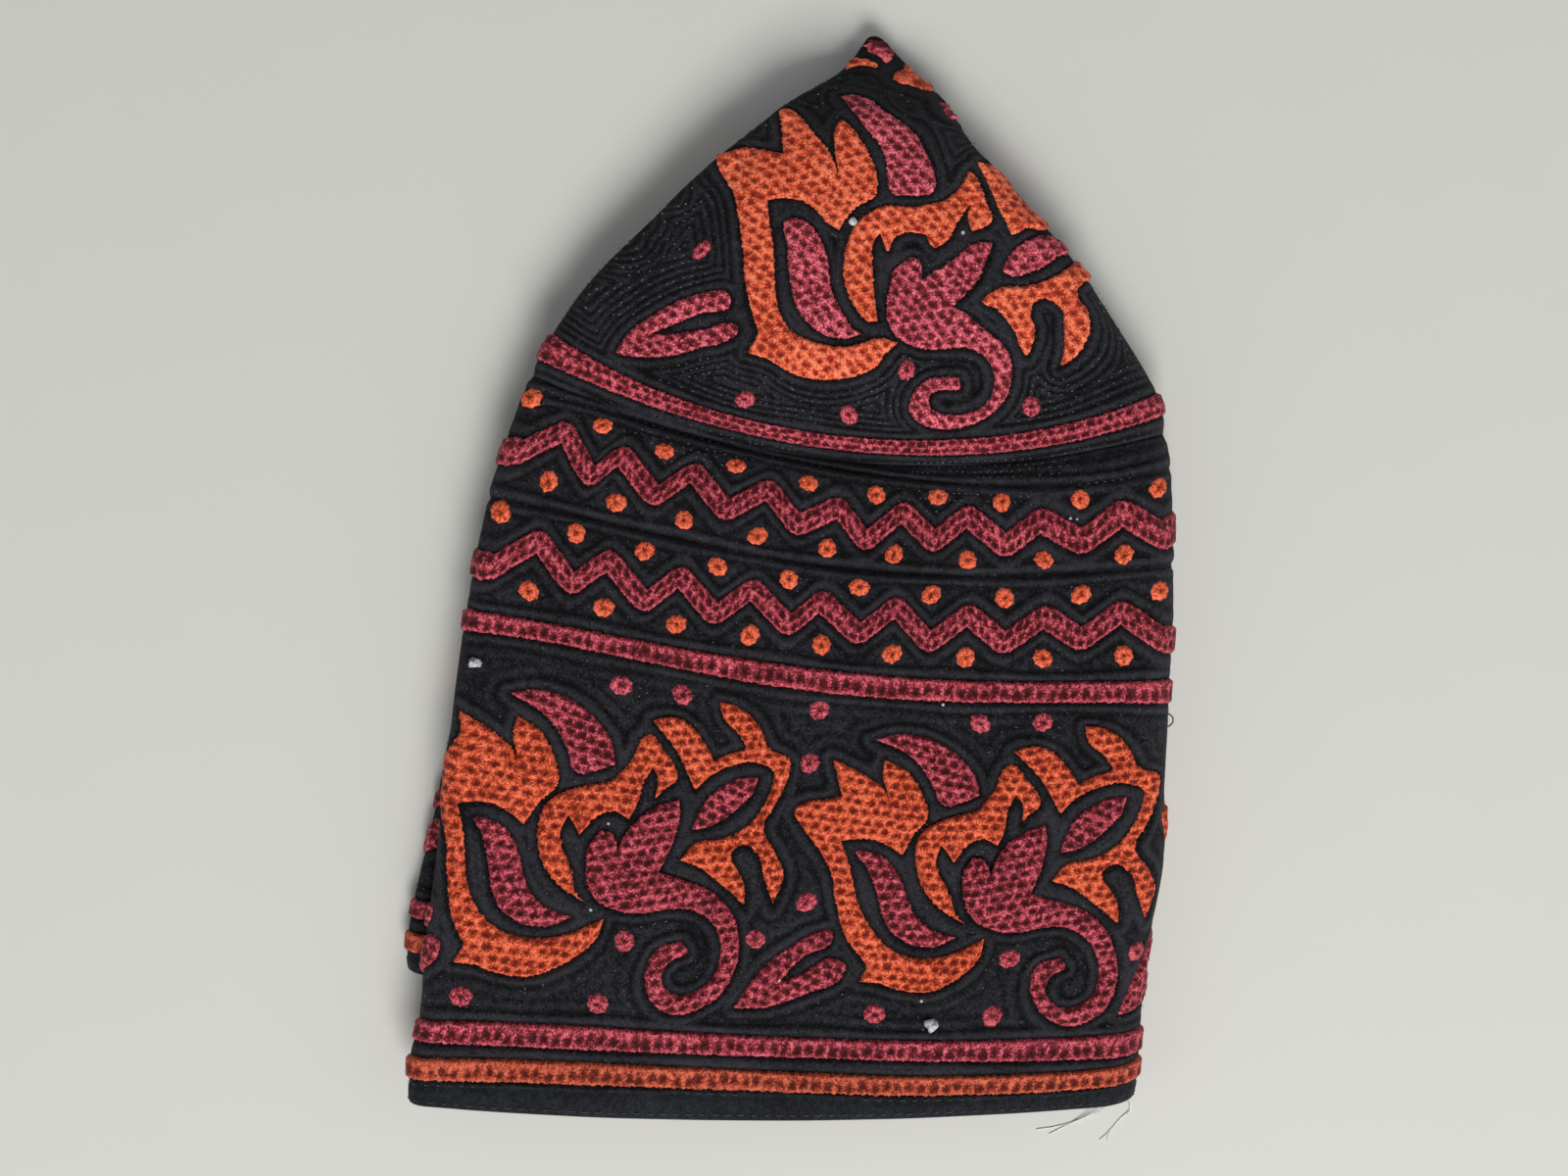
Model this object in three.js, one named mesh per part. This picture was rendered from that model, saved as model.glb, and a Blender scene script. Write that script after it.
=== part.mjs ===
// Prayer cap: a tall brimless cap of quilted black cotton. It has been pressed flat and
// folded in half once more, and lies on its back half with the domed crown at the far end.
// Millimetres. +Y runs from the rim to the crown's centre, +X points to the closed round
// fold, -X to the two pressed folds, +Z up. The origin is the centre of the resting side.
import * as THREE from 'three';

// Cloth: two layers of cotton with their quilting between them
const WALL = 1.8;
const WALL_AT_CENTRE = 1.3;
const HEM_TURN_IN = 0.4;

// Clear space between the layers of the folded cap, in the open and at the crown's centre
const LOWER_GAP = 2.2;
const LOWER_GAP_AT_CENTRE = 0.2;
const SLIT = 0.8;
const SLIT_AT_CENTRE = 0.2;

// Heights along the cloth, counted from the rim
const HEM_HEIGHT = 5.0;
const SEAM_HEIGHT = 133.5;
const CENTRE_HEIGHT = 226.0;
const PIECE_GAP = 0.3;

// Faces across each stretch of a section
const FLAT_STEPS = 10;
const PRESSED_FOLD_STEPS = 2;
const ROUND_FOLD_STEPS = 8;

// Middle of the resting cap in plan, as the table of levels has it: the origin goes there.
const MIDDLE_X = -0.6;
const MIDDLE_Y = 1.05;

// One row for each level of the cap. height: along the cloth from the rim. left, mid and
// right: the front quarter's place in plan at the pressed fold, half-way and at the round
// fold. back: how far the back half's pressed fold is shifted from the front's. top: the
// height of the upper layer's middle at left, mid and right. innerLeft: the same for the
// layer under it, at the pressed fold. innerRight: how far the inner fold's centre lies
// behind the outer one's. open: 1 where the layers lie apart, 0 where they are pressed.
const COLUMNS = [
  'height', 'leftX', 'leftY', 'midX', 'midY', 'rightX', 'rightY', 'backX', 'backY',
  'topLeft', 'topMid', 'topRight', 'innerLeft', 'innerRight', 'open',
];
const ROWS = [
  [0.0, -74.5, -102.4, -3.6, -104.9, 67.5, -101.9, -1.7, 24.2, 14.4, 16.2, 15.6, 7.5, 3.1, 1],
  [5.0, -74.5, -97.9, -3.4, -99.5, 68.3, -98.1, -2.0, 23.4, 14.4, 16.4, 15.7, 7.5, 3.9, 1],
  [9.1, -74.3, -93.5, -3.0, -95.5, 68.5, -94.1, -1.9, 23.0, 14.4, 16.5, 15.7, 7.5, 4.0, 1],
  [16.2, -72.4, -85.8, -1.9, -88.9, 68.8, -88.1, -2.6, 22.2, 14.5, 16.7, 15.8, 7.5, 4.3, 1],
  [32.7, -70.7, -68.1, 0.8, -72.7, 70.2, -72.4, -0.3, 21.6, 14.5, 17.0, 15.8, 7.5, 5.7, 1],
  [49.8, -68.2, -49.6, 3.0, -55.8, 73.0, -56.6, 0.6, 20.7, 14.5, 17.3, 15.9, 7.5, 8.4, 1],
  [67.0, -66.2, -30.4, 4.0, -39.0, 73.5, -40.7, 2.2, 19.5, 14.5, 17.5, 15.9, 7.5, 8.8, 1],
  [84.8, -63.6, -10.3, 4.9, -22.1, 74.2, -24.5, 3.0, 18.1, 14.5, 17.6, 16.0, 7.5, 9.6, 1],
  [109.7, -58.6, 15.8, 8.0, 1.5, 75.3, 0.6, 5.5, 16.0, 14.4, 17.0, 15.9, 7.8, 10.7, 1],
  [127.0, -52.8, 33.3, 10.4, 17.6, 74.6, 20.5, 6.5, 13.2, 14.4, 16.4, 15.7, 8.4, 9.2, 1],
  [133.5, -50.4, 39.2, 11.8, 22.0, 73.8, 27.9, 6.7, 11.9, 14.5, 14.9, 15.6, 8.7, 8.0, 1],
  [141.4, -46.6, 46.4, 12.2, 27.2, 72.1, 35.4, 7.0, 10.5, 14.9, 18.1, 16.1, 9.2, 6.6, 1],
  [153.5, -40.0, 56.1, 12.1, 37.3, 65.2, 47.4, 7.6, 8.3, 15.2, 20.8, 16.8, 9.7, 5.4, 1],
  [170.6, -28.3, 68.1, 12.8, 54.0, 55.6, 61.9, 7.0, 6.5, 15.8, 21.8, 17.2, 10.0, 4.4, 1],
  [190.0, -13.6, 81.6, 13.4, 72.6, 42.4, 76.9, 5.4, 4.6, 16.4, 21.2, 17.0, 10.0, 3.4, 1],
  [204.0, -1.1, 91.4, 14.8, 85.6, 34.6, 86.7, 3.0, 2.2, 16.2, 19.6, 16.0, 9.2, 2.2, 1],
  [212.0, 6.1, 96.2, 16.5, 91.7, 30.6, 93.0, 1.2, 0.6, 13.4, 16.0, 13.0, 7.4, 1.4, 0.85],
  [218.0, 9.6, 99.2, 16.7, 98.4, 26.6, 98.0, 0, 0, 8.4, 8.6, 8.4, 6.1, 0.7, 0.6],
  [221.5, 12.2, 102.0, 16.8, 101.7, 22.6, 102.3, 0, 0, 7.0, 7.2, 7.0, 5.1, 0.3, 0.35],
  [226.0, 14.9, 106.2, 16.9, 107.0, 19.4, 105.9, 0, 0, 5.15, 5.2, 5.15, 3.65, 0.05, 0],
];

// Levels at which each piece has a section
const HEM_LEVELS = [0, 2.5, HEM_HEIGHT - PIECE_GAP / 2];
const BAND_LEVELS = [
  HEM_HEIGHT + PIECE_GAP / 2, 10, 16.2, 24.5, 32.7, 41, 49.8, 58, 67, 76, 84.8, 97, 109.7, 118,
  124, 129, SEAM_HEIGHT - PIECE_GAP / 2,
];
const CROWN_LEVELS = [
  SEAM_HEIGHT + PIECE_GAP / 2, 137, 141.4, 147, 153.5, 162, 170.6, 180, 190, 198, 204, 208.5, 212,
  215, 218, 221.5, 224, CENTRE_HEIGHT,
];

const mix = (a, b, t) => a + (b - a) * t;
const smooth = (t) => t * t * (3 - 2 * t);

// A table column read at any height, on a smooth curve through its rows.
function column(name, height) {
  const c = COLUMNS.indexOf(name);
  const last = ROWS.length - 1;
  let i = 0;
  while (i < last - 1 && ROWS[i + 1][0] < height) i += 1;
  const slope = (k) => {
    const before = ROWS[Math.max(k - 1, 0)];
    const after = ROWS[Math.min(k + 1, last)];
    return (after[c] - before[c]) / (after[0] - before[0]);
  };
  const step = ROWS[i + 1][0] - ROWS[i][0];
  const t = (height - ROWS[i][0]) / step;
  const bend = t * (1 - t) * step * ((1 - t) * slope(i) - t * slope(i + 1));
  return mix(ROWS[i][c], ROWS[i + 1][c], smooth(t)) + bend;
}

// Everything that a section needs at one height: its plan, its layers' heights, its wall.
function levelAt(height) {
  const level = {};
  for (const name of COLUMNS) level[name] = column(name, height);
  level.wall = mix(WALL_AT_CENTRE, WALL, level.open);
  level.bottom = level.wall / 2;
  level.lower = level.bottom + level.wall + mix(LOWER_GAP_AT_CENTRE, LOWER_GAP, level.open);
  level.inner = level.lower + level.wall + mix(SLIT_AT_CENTRE, SLIT, level.open);
  level.width = 0;
  let before = planPoint({ ...level, width: 1 }, 0, 0);
  for (let i = 1; i <= FLAT_STEPS; i += 1) {
    const after = planPoint({ ...level, width: 1 }, i / FLAT_STEPS, 0);
    level.width += Math.hypot(after[0] - before[0], after[1] - before[1]);
    before = after;
  }
  return level;
}

// Place in plan at distance q from the round fold, on the parabola through the level's three
// points. The back half's is shifted in proportion to q.
function planPoint(level, q, back) {
  const s = q / level.width;
  const right = (1 - s) * (1 - 2 * s);
  const mid = 4 * s * (1 - s);
  const left = s * (2 * s - 1);
  return [
    right * level.rightX + mid * level.midX + left * level.leftX + back * s * level.backX,
    right * level.rightY + mid * level.midY + left * level.leftY + back * s * level.backY,
  ];
}

// The middle line of the wall once round the folded tube: upper layer, round fold, bottom
// layer, back inside over the lower layer, inner fold, and out under the upper layer. Each
// point has its distance q from the round fold, its height z, the wall's outward direction,
// and back, from 0 on the front half to 1 on the back half.
function middleLine(level) {
  const upperFold = (level.topLeft - level.innerLeft) / 2;
  const lowerFold = (level.lower - level.bottom) / 2;
  const outerFold = (level.topRight - level.bottom) / 2;
  const innerFold = (level.inner - level.lower) / 2;
  const upperEnd = level.width - upperFold - level.wall / 2;
  const lowerEnd = level.width - lowerFold - level.wall / 2;
  const outerCentre = outerFold + level.wall / 2;
  const innerCentre = outerCentre + level.innerRight;
  const points = [];

  const arc = (q, z, radius, from, to, steps, side, backAt) => {
    for (let i = 0; i < steps; i += 1) {
      const angle = mix(from, to, i / steps);
      points.push({
        q: q + radius * Math.cos(angle),
        z: z + radius * Math.sin(angle),
        nq: side * Math.cos(angle),
        nz: side * Math.sin(angle),
        back: backAt(i / steps),
      });
    }
  };
  const flat = (from, to, zAt, side, back) => {
    for (let i = 0; i < FLAT_STEPS; i += 1) {
      const q = mix(from, to, i / FLAT_STEPS);
      points.push({ q, z: zAt(q), nq: 0, nz: side, back });
    }
  };
  const upperTop = (q) => {
    const s = (q - outerCentre) / (upperEnd - outerCentre);
    return (1 - s) * (1 - 2 * s) * level.topRight + 4 * s * (1 - s) * level.topMid
      + s * (2 * s - 1) * level.topLeft;
  };
  const innerTop = (q) => mix(level.inner, level.innerLeft,
    (q - innerCentre) / (upperEnd - innerCentre));
  const quarter = Math.PI / 2;

  arc(upperEnd, level.innerLeft + upperFold, upperFold, 0, quarter, PRESSED_FOLD_STEPS, 1, () => 0);
  flat(upperEnd, outerCentre, upperTop, 1, 0);
  arc(outerCentre, level.bottom + outerFold, outerFold, quarter, 3 * quarter, ROUND_FOLD_STEPS, 1,
    smooth);
  flat(outerCentre, lowerEnd, () => level.bottom, -1, 1);
  arc(lowerEnd, level.bottom + lowerFold, lowerFold, -quarter, 0, PRESSED_FOLD_STEPS, 1, () => 1);
  arc(lowerEnd, level.bottom + lowerFold, lowerFold, 0, quarter, PRESSED_FOLD_STEPS, 1, () => 1);
  flat(lowerEnd, innerCentre, () => level.lower, 1, 1);
  arc(innerCentre, level.lower + innerFold, innerFold, 3 * quarter, quarter, ROUND_FOLD_STEPS, -1,
    (t) => 1 - smooth(t));
  flat(innerCentre, upperEnd, innerTop, -1, 0);
  arc(upperEnd, level.innerLeft + upperFold, upperFold, -quarter, 0, PRESSED_FOLD_STEPS, 1, () => 0);
  return points;
}

// One skin of the wall at a level: its middle line moved outwards by offset.
function ring(level, offset) {
  return middleLine(level).map((p) => {
    const [x, y] = planPoint(level, p.q + offset * p.nq, p.back);
    return [x, y, p.z + offset * p.nz];
  });
}

// A closed tube of cloth through the given levels. Its inner skin is turned in by extra, and
// its far end is shut where the cap's centre is pressed together.
function clothTube(heights, { turnIn = 0, shut = false } = {}) {
  const position = [];
  const index = [];
  const levels = heights.map(levelAt);
  const outer = levels.map((level) => ring(level, level.wall / 2));
  const inner = levels.slice(0, levels.length - (shut ? 1 : 0))
    .map((level) => ring(level, -level.wall / 2 - turnIn));
  const count = outer[0].length;
  for (const one of [...outer, ...inner]) for (const point of one) position.push(...point);
  const at = (row, i) => row * count + ((i + count) % count);
  const quad = (a, b, c, d) => index.push(a, b, c, a, c, d);

  const firstInner = levels.length;
  const top = levels.length - 1;
  const innerTop = firstInner + (shut ? top - 1 : top);
  for (let i = 0; i < count; i += 1) {
    for (let row = 0; row < top; row += 1) {
      quad(at(row, i), at(row, i + 1), at(row + 1, i + 1), at(row + 1, i));
    }
    for (let row = firstInner; row < innerTop; row += 1) {
      quad(at(row, i), at(row + 1, i), at(row + 1, i + 1), at(row, i + 1));
    }
    quad(at(0, i), at(firstInner, i), at(firstInner, i + 1), at(0, i + 1));
    if (!shut) quad(at(top, i), at(top, i + 1), at(innerTop, i + 1), at(innerTop, i));
  }
  if (shut) {
    for (const [row, side] of [[top, 1], [innerTop, -1]]) {
      for (let i = 0; i < count / 2; i += 1) {
        const strip = [at(row, i), at(row, i + 1), at(row, -i - 1), at(row, -i)];
        if (side < 0) strip.reverse();
        if (i === 0) index.push(strip[0], strip[1], strip[2]);
        else if (i === count / 2 - 1) index.push(strip[0], strip[1], strip[3]);
        else quad(...strip);
      }
    }
  }
  const geometry = new THREE.BufferGeometry();
  geometry.setAttribute('position', new THREE.Float32BufferAttribute(position, 3));
  geometry.setIndex(index);
  geometry.computeVertexNormals();
  return geometry;
}

function piece(name, geometry, colour, roughness) {
  const material = new THREE.MeshStandardMaterial({ color: colour, roughness, metalness: 0 });
  const mesh = new THREE.Mesh(geometry, material);
  mesh.name = name;
  return mesh;
}

const cap = new THREE.Group();
cap.position.set(-MIDDLE_X, -MIDDLE_Y, 0);
cap.add(piece('crown', clothTube(CROWN_LEVELS, { shut: true }), 0x1b1c20, 0.9));
cap.add(piece('side_band', clothTube(BAND_LEVELS), 0x1b1c20, 0.9));
cap.add(piece('rim_binding', clothTube(HEM_LEVELS, { turnIn: HEM_TURN_IN }), 0x141518, 0.85));
export default cap;
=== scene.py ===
import math

import bpy
import numpy as np
from bpy.props import FloatProperty, FloatVectorProperty, PointerProperty
from bpy.types import Operator, Panel, PropertyGroup
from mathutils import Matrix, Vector
from mathutils.geometry import delaunay_2d_cdt


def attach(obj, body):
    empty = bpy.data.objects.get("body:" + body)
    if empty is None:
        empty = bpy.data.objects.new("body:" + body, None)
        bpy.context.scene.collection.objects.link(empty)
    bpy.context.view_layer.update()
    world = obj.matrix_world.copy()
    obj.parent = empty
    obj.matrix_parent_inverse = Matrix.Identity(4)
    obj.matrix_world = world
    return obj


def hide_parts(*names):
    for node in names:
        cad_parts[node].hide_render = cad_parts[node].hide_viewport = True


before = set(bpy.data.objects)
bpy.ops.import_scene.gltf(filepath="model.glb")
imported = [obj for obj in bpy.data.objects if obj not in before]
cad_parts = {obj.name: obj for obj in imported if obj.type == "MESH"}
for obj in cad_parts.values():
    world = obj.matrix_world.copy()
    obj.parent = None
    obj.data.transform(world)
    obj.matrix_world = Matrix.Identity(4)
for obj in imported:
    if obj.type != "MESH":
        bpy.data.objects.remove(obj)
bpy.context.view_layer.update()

bl_info = {
    "name": "Prayer cap",
    "version": (1, 0, 0),
    "blender": (4, 5, 0),
    "location": "View3D > Sidebar > Prayer cap",
    "description": "Dresses the folded prayer cap with cloth, embroidery, hem and stitching",
    "category": "Object",
}

MM = 0.001
TAU = 2 * math.pi

# The folded cap's shape, as the CAD source has it, in millimetres

WALL = 1.8
WALL_AT_CENTRE = 1.3
LOWER_GAP = 2.2
LOWER_GAP_AT_CENTRE = 0.2
SLIT = 0.8
SLIT_AT_CENTRE = 0.2
HEM_TURN_IN = 0.4
HEM_HEIGHT = 5.0
SEAM_HEIGHT = 133.5
CENTRE_HEIGHT = 226.0
MIDDLE = np.array([-0.6, 1.05, 0.0])

COLUMNS = (
    "height", "leftX", "leftY", "midX", "midY", "rightX", "rightY", "backX", "backY",
    "topLeft", "topMid", "topRight", "innerLeft", "innerRight", "open",
)
ROWS = np.array([
    [0.0, -74.5, -102.4, -3.6, -104.9, 67.5, -101.9, -1.7, 24.2, 14.4, 16.2, 15.6, 7.5, 3.1, 1],
    [5.0, -74.5, -97.9, -3.4, -99.5, 68.3, -98.1, -2.0, 23.4, 14.4, 16.4, 15.7, 7.5, 3.9, 1],
    [9.1, -74.3, -93.5, -3.0, -95.5, 68.5, -94.1, -1.9, 23.0, 14.4, 16.5, 15.7, 7.5, 4.0, 1],
    [16.2, -72.4, -85.8, -1.9, -88.9, 68.8, -88.1, -2.6, 22.2, 14.5, 16.7, 15.8, 7.5, 4.3, 1],
    [32.7, -70.7, -68.1, 0.8, -72.7, 70.2, -72.4, -0.3, 21.6, 14.5, 17.0, 15.8, 7.5, 5.7, 1],
    [49.8, -68.2, -49.6, 3.0, -55.8, 73.0, -56.6, 0.6, 20.7, 14.5, 17.3, 15.9, 7.5, 8.4, 1],
    [67.0, -66.2, -30.4, 4.0, -39.0, 73.5, -40.7, 2.2, 19.5, 14.5, 17.5, 15.9, 7.5, 8.8, 1],
    [84.8, -63.6, -10.3, 4.9, -22.1, 74.2, -24.5, 3.0, 18.1, 14.5, 17.6, 16.0, 7.5, 9.6, 1],
    [109.7, -58.6, 15.8, 8.0, 1.5, 75.3, 0.6, 5.5, 16.0, 14.4, 17.0, 15.9, 7.8, 10.7, 1],
    [127.0, -52.8, 33.3, 10.4, 17.6, 74.6, 20.5, 6.5, 13.2, 14.4, 16.4, 15.7, 8.4, 9.2, 1],
    [133.5, -50.4, 39.2, 11.8, 22.0, 73.8, 27.9, 6.7, 11.9, 14.5, 14.9, 15.6, 8.7, 8.0, 1],
    [141.4, -46.6, 46.4, 12.2, 27.2, 72.1, 35.4, 7.0, 10.5, 14.9, 18.1, 16.1, 9.2, 6.6, 1],
    [153.5, -40.0, 56.1, 12.1, 37.3, 65.2, 47.4, 7.6, 8.3, 15.2, 20.8, 16.8, 9.7, 5.4, 1],
    [170.6, -28.3, 68.1, 12.8, 54.0, 55.6, 61.9, 7.0, 6.5, 15.8, 21.8, 17.2, 10.0, 4.4, 1],
    [190.0, -13.6, 81.6, 13.4, 72.6, 42.4, 76.9, 5.4, 4.6, 16.4, 21.2, 17.0, 10.0, 3.4, 1],
    [204.0, -1.1, 91.4, 14.8, 85.6, 34.6, 86.7, 3.0, 2.2, 16.2, 19.6, 16.0, 9.2, 2.2, 1],
    [212.0, 6.1, 96.2, 16.5, 91.7, 30.6, 93.0, 1.2, 0.6, 13.4, 16.0, 13.0, 7.4, 1.4, 0.85],
    [218.0, 9.6, 99.2, 16.7, 98.4, 26.6, 98.0, 0, 0, 8.4, 8.6, 8.4, 6.1, 0.7, 0.6],
    [221.5, 12.2, 102.0, 16.8, 101.7, 22.6, 102.3, 0, 0, 7.0, 7.2, 7.0, 5.1, 0.3, 0.35],
    [226.0, 14.9, 106.2, 16.9, 107.0, 19.4, 105.9, 0, 0, 5.15, 5.2, 5.15, 3.65, 0.05, 0],
])


def mix(a, b, t):
    return a + (b - a) * t


def smooth(t):
    t = np.clip(t, 0.0, 1.0)
    return t * t * (3 - 2 * t)


def stack(*values):
    """Values side by side on a new last axis, each spread to their common shape."""
    return np.stack(np.broadcast_arrays(*values), -1)


def unit(ways):
    """Ways with their length made 1."""
    return ways / np.linalg.norm(ways, axis=1)[:, None]


def turned_right(ways):
    """Ways in a plane, turned right by a quarter."""
    return stack(ways[:, 1], -ways[:, 0])


def table_at(height):
    """Every column of the table at the given heights, on Hermite curves whose slope at a row
    is that of the line through the rows before and after it."""
    rows = ROWS[:, 0]
    last = len(rows) - 1
    i = np.clip(np.searchsorted(rows, height, side="right") - 1, 0, last - 1)
    before = np.maximum(np.arange(last + 1) - 1, 0)
    after = np.minimum(np.arange(last + 1) + 1, last)
    slope = (ROWS[after] - ROWS[before]) / (rows[after] - rows[before])[:, None]
    step = rows[i + 1] - rows[i]
    t = (height - rows[i]) / step
    bend = t * (1 - t) * step
    return {
        name: mix(ROWS[i, k], ROWS[i + 1, k], smooth(t))
        + bend * ((1 - t) * slope[i, k] - t * slope[i + 1, k])
        for k, name in enumerate(COLUMNS)
    }


def plan(level, q, back):
    """Place in plan at distance q from the round fold: the parabola through the level's three
    points, shifted on the back half in proportion to q."""
    s = q / level["width"]
    right, mid, left = (1 - s) * (1 - 2 * s), 4 * s * (1 - s), s * (2 * s - 1)
    return (
        right * level["rightX"] + mid * level["midX"] + left * level["leftX"]
        + back * s * level["backX"],
        right * level["rightY"] + mid * level["midY"] + left * level["leftY"]
        + back * s * level["backY"],
    )


def levels(height):
    """The table at the given heights, with the wall, the layers' heights and the width of
    the front quarter, which is the length of its parabola in ten chords."""
    level = table_at(height)
    opened = level["open"]
    level["wall"] = mix(WALL_AT_CENTRE, WALL, opened)
    level["bottom"] = level["wall"] / 2
    level["lower"] = level["bottom"] + level["wall"] + mix(LOWER_GAP_AT_CENTRE, LOWER_GAP, opened)
    level["inner"] = level["lower"] + level["wall"] + mix(SLIT_AT_CENTRE, SLIT, opened)
    level["width"] = np.ones_like(level["wall"])
    along = np.linspace(0, 1, 11)
    places = [plan(level, q, 0.0) for q in along]
    level["width"] = sum(
        np.hypot(b[0] - a[0], b[1] - a[1]) for a, b in zip(places[:-1], places[1:])
    )
    return level


def cloth(around, height, proud=0.0, level=None):
    """Points of the folded cloth. around counts quarters from the round fold: 0 to 1 is the
    front, up to the pressed fold, 1 to 2 the layer under it, 2 to 3 the back half's upper
    layer and 3 to 4 the one on the table. proud is the distance outwards from the wall's
    outer skin. A quarter's section is a quarter circle at its round fold, a long flat
    stretch, and a quarter circle at its pressed fold, followed by arc length."""
    if level is None:
        level = levels(height)
    wall, bottom, lower, inner = (level[k] for k in ("wall", "bottom", "lower", "inner"))
    upper_fold = (level["topLeft"] - level["innerLeft"]) / 2
    lower_fold = (lower - bottom) / 2
    outer_fold = (level["topRight"] - bottom) / 2
    inner_fold = (inner - lower) / 2
    around = np.mod(around, 4)
    quarter = np.floor(around).astype(int)
    part = around - quarter
    front, outer, up = quarter <= 1, (quarter == 0) | (quarter == 3), quarter % 2 == 0
    part = np.where(up, part, 1 - part)
    face = np.where(up, 1.0, -1.0)
    turn = np.where(front, 1.0, -1.0)
    right_radius = np.where(outer, outer_fold, inner_fold)
    right_centre = outer_fold + wall / 2 + np.where(outer, 0.0, level["innerRight"])
    right_height = np.where(outer, bottom + outer_fold, lower + inner_fold)
    left_radius = np.where(front, upper_fold, lower_fold)
    left_centre = level["width"] - left_radius - wall / 2
    left_height = np.where(front, level["innerLeft"] + upper_fold, bottom + lower_fold)
    half = math.pi / 2
    lengths = right_radius * half, left_centre - right_centre, left_radius * half
    run = part * sum(lengths)

    bend = np.clip(run / np.maximum(right_radius, 1e-6), 0, half)
    angle = np.pi - turn * bend
    away = np.where(outer, 1.0, -1.0)
    right = (
        right_centre + right_radius * np.cos(angle), right_height + right_radius * np.sin(angle),
        away * np.cos(angle), away * np.sin(angle), smooth(0.5 - 0.5 * turn * bend / half),
    )
    s = np.clip(run - lengths[0], 0, lengths[1]) / lengths[1]
    top = ((1 - s) * (1 - 2 * s) * level["topRight"] + 4 * s * (1 - s) * level["topMid"]
           + s * (2 * s - 1) * level["topLeft"])
    under = mix(inner, level["innerLeft"], s)
    flat_height = np.select([quarter == n for n in range(3)], [top, under, lower], bottom)
    flat = right_centre + s * lengths[1], flat_height, 0.0, face, np.where(front, 0.0, 1.0)
    bend = np.clip((run - lengths[0] - lengths[1]) / np.maximum(left_radius, 1e-6), 0, half)
    angle = face * (half - bend)
    left = (
        left_centre + left_radius * np.cos(angle), left_height + left_radius * np.sin(angle),
        np.cos(angle), np.sin(angle), np.where(front, 0.0, 1.0),
    )
    on_right, on_left = run < lengths[0], run > lengths[0] + lengths[1]
    q, z, nq, nz, back = (
        np.where(on_right, a, np.where(on_left, c, b)) for a, b, c in zip(right, flat, left)
    )
    out = wall / 2 + proud
    x, y = plan(level, q + out * nq, back)
    return stack(x, y, z + out * nz)


# The chart: what is read off, in units of 0.19 mm seen from straight above

PHOTO_WIDTH = 1600
CHART_UNIT = 0.19
CHART_MIDDLE = np.array([806.0, 588.0])
EYE_HEIGHT = 400.0
CHART_HEIGHT = 14.0


def flattened(points):
    """Where points are seen on the chart's plane, in mm, by an eye straight above."""
    return points[..., :2] * ((EYE_HEIGHT - CHART_HEIGHT) / (EYE_HEIGHT - points[..., 2:]))


def chart_mm(chart):
    chart = np.asarray(chart, float)
    return (chart - CHART_MIDDLE) * [CHART_UNIT, -CHART_UNIT]


def read(text):
    """A charted line from pairs of numbers. A star marks a point where it turns sharply."""
    words = text.split()
    points = np.array([float(w.rstrip("*")) for w in words]).reshape(-1, 2)
    return points, np.array([w.endswith("*") for w in words[1::2]])


GUESS_AROUND, GUESS_HEIGHT = (
    a.ravel() for a in np.meshgrid(np.linspace(0, 0.9999, 81), np.linspace(0, 225.5, 226),
                                   indexing="ij")
)
GUESS = flattened(cloth(GUESS_AROUND, GUESS_HEIGHT))


def on_cloth(chart):
    """Place round the cap and height of charted points of the front. The nearest of a grid of
    places is improved by six Newton steps on where the cloth is seen."""
    goal = chart_mm(chart)
    near = ((goal[:, None] - GUESS[None]) ** 2).sum(-1).argmin(1)
    around, height = GUESS_AROUND[near], GUESS_HEIGHT[near]
    small = 1e-3
    for _ in range(6):
        here = flattened(cloth(around, height))
        by_around = (flattened(cloth(around + small, height)) - here) / small
        by_height = (flattened(cloth(around, height + small)) - here) / small
        miss = goal - here
        area = by_around[:, 0] * by_height[:, 1] - by_around[:, 1] * by_height[:, 0]
        area = np.where(abs(area) < 1e-6, 1e-6, area)
        step = (miss[:, 0] * by_height[:, 1] - miss[:, 1] * by_height[:, 0]) / area
        rise = (by_around[:, 0] * miss[:, 1] - by_around[:, 1] * miss[:, 0]) / area
        around = np.clip(around + np.clip(step, -0.05, 0.05), 1e-4, 0.9999)
        height = np.clip(height + np.clip(rise, -5, 5), 0, CENTRE_HEIGHT - 0.1)
    return around, height


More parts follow.
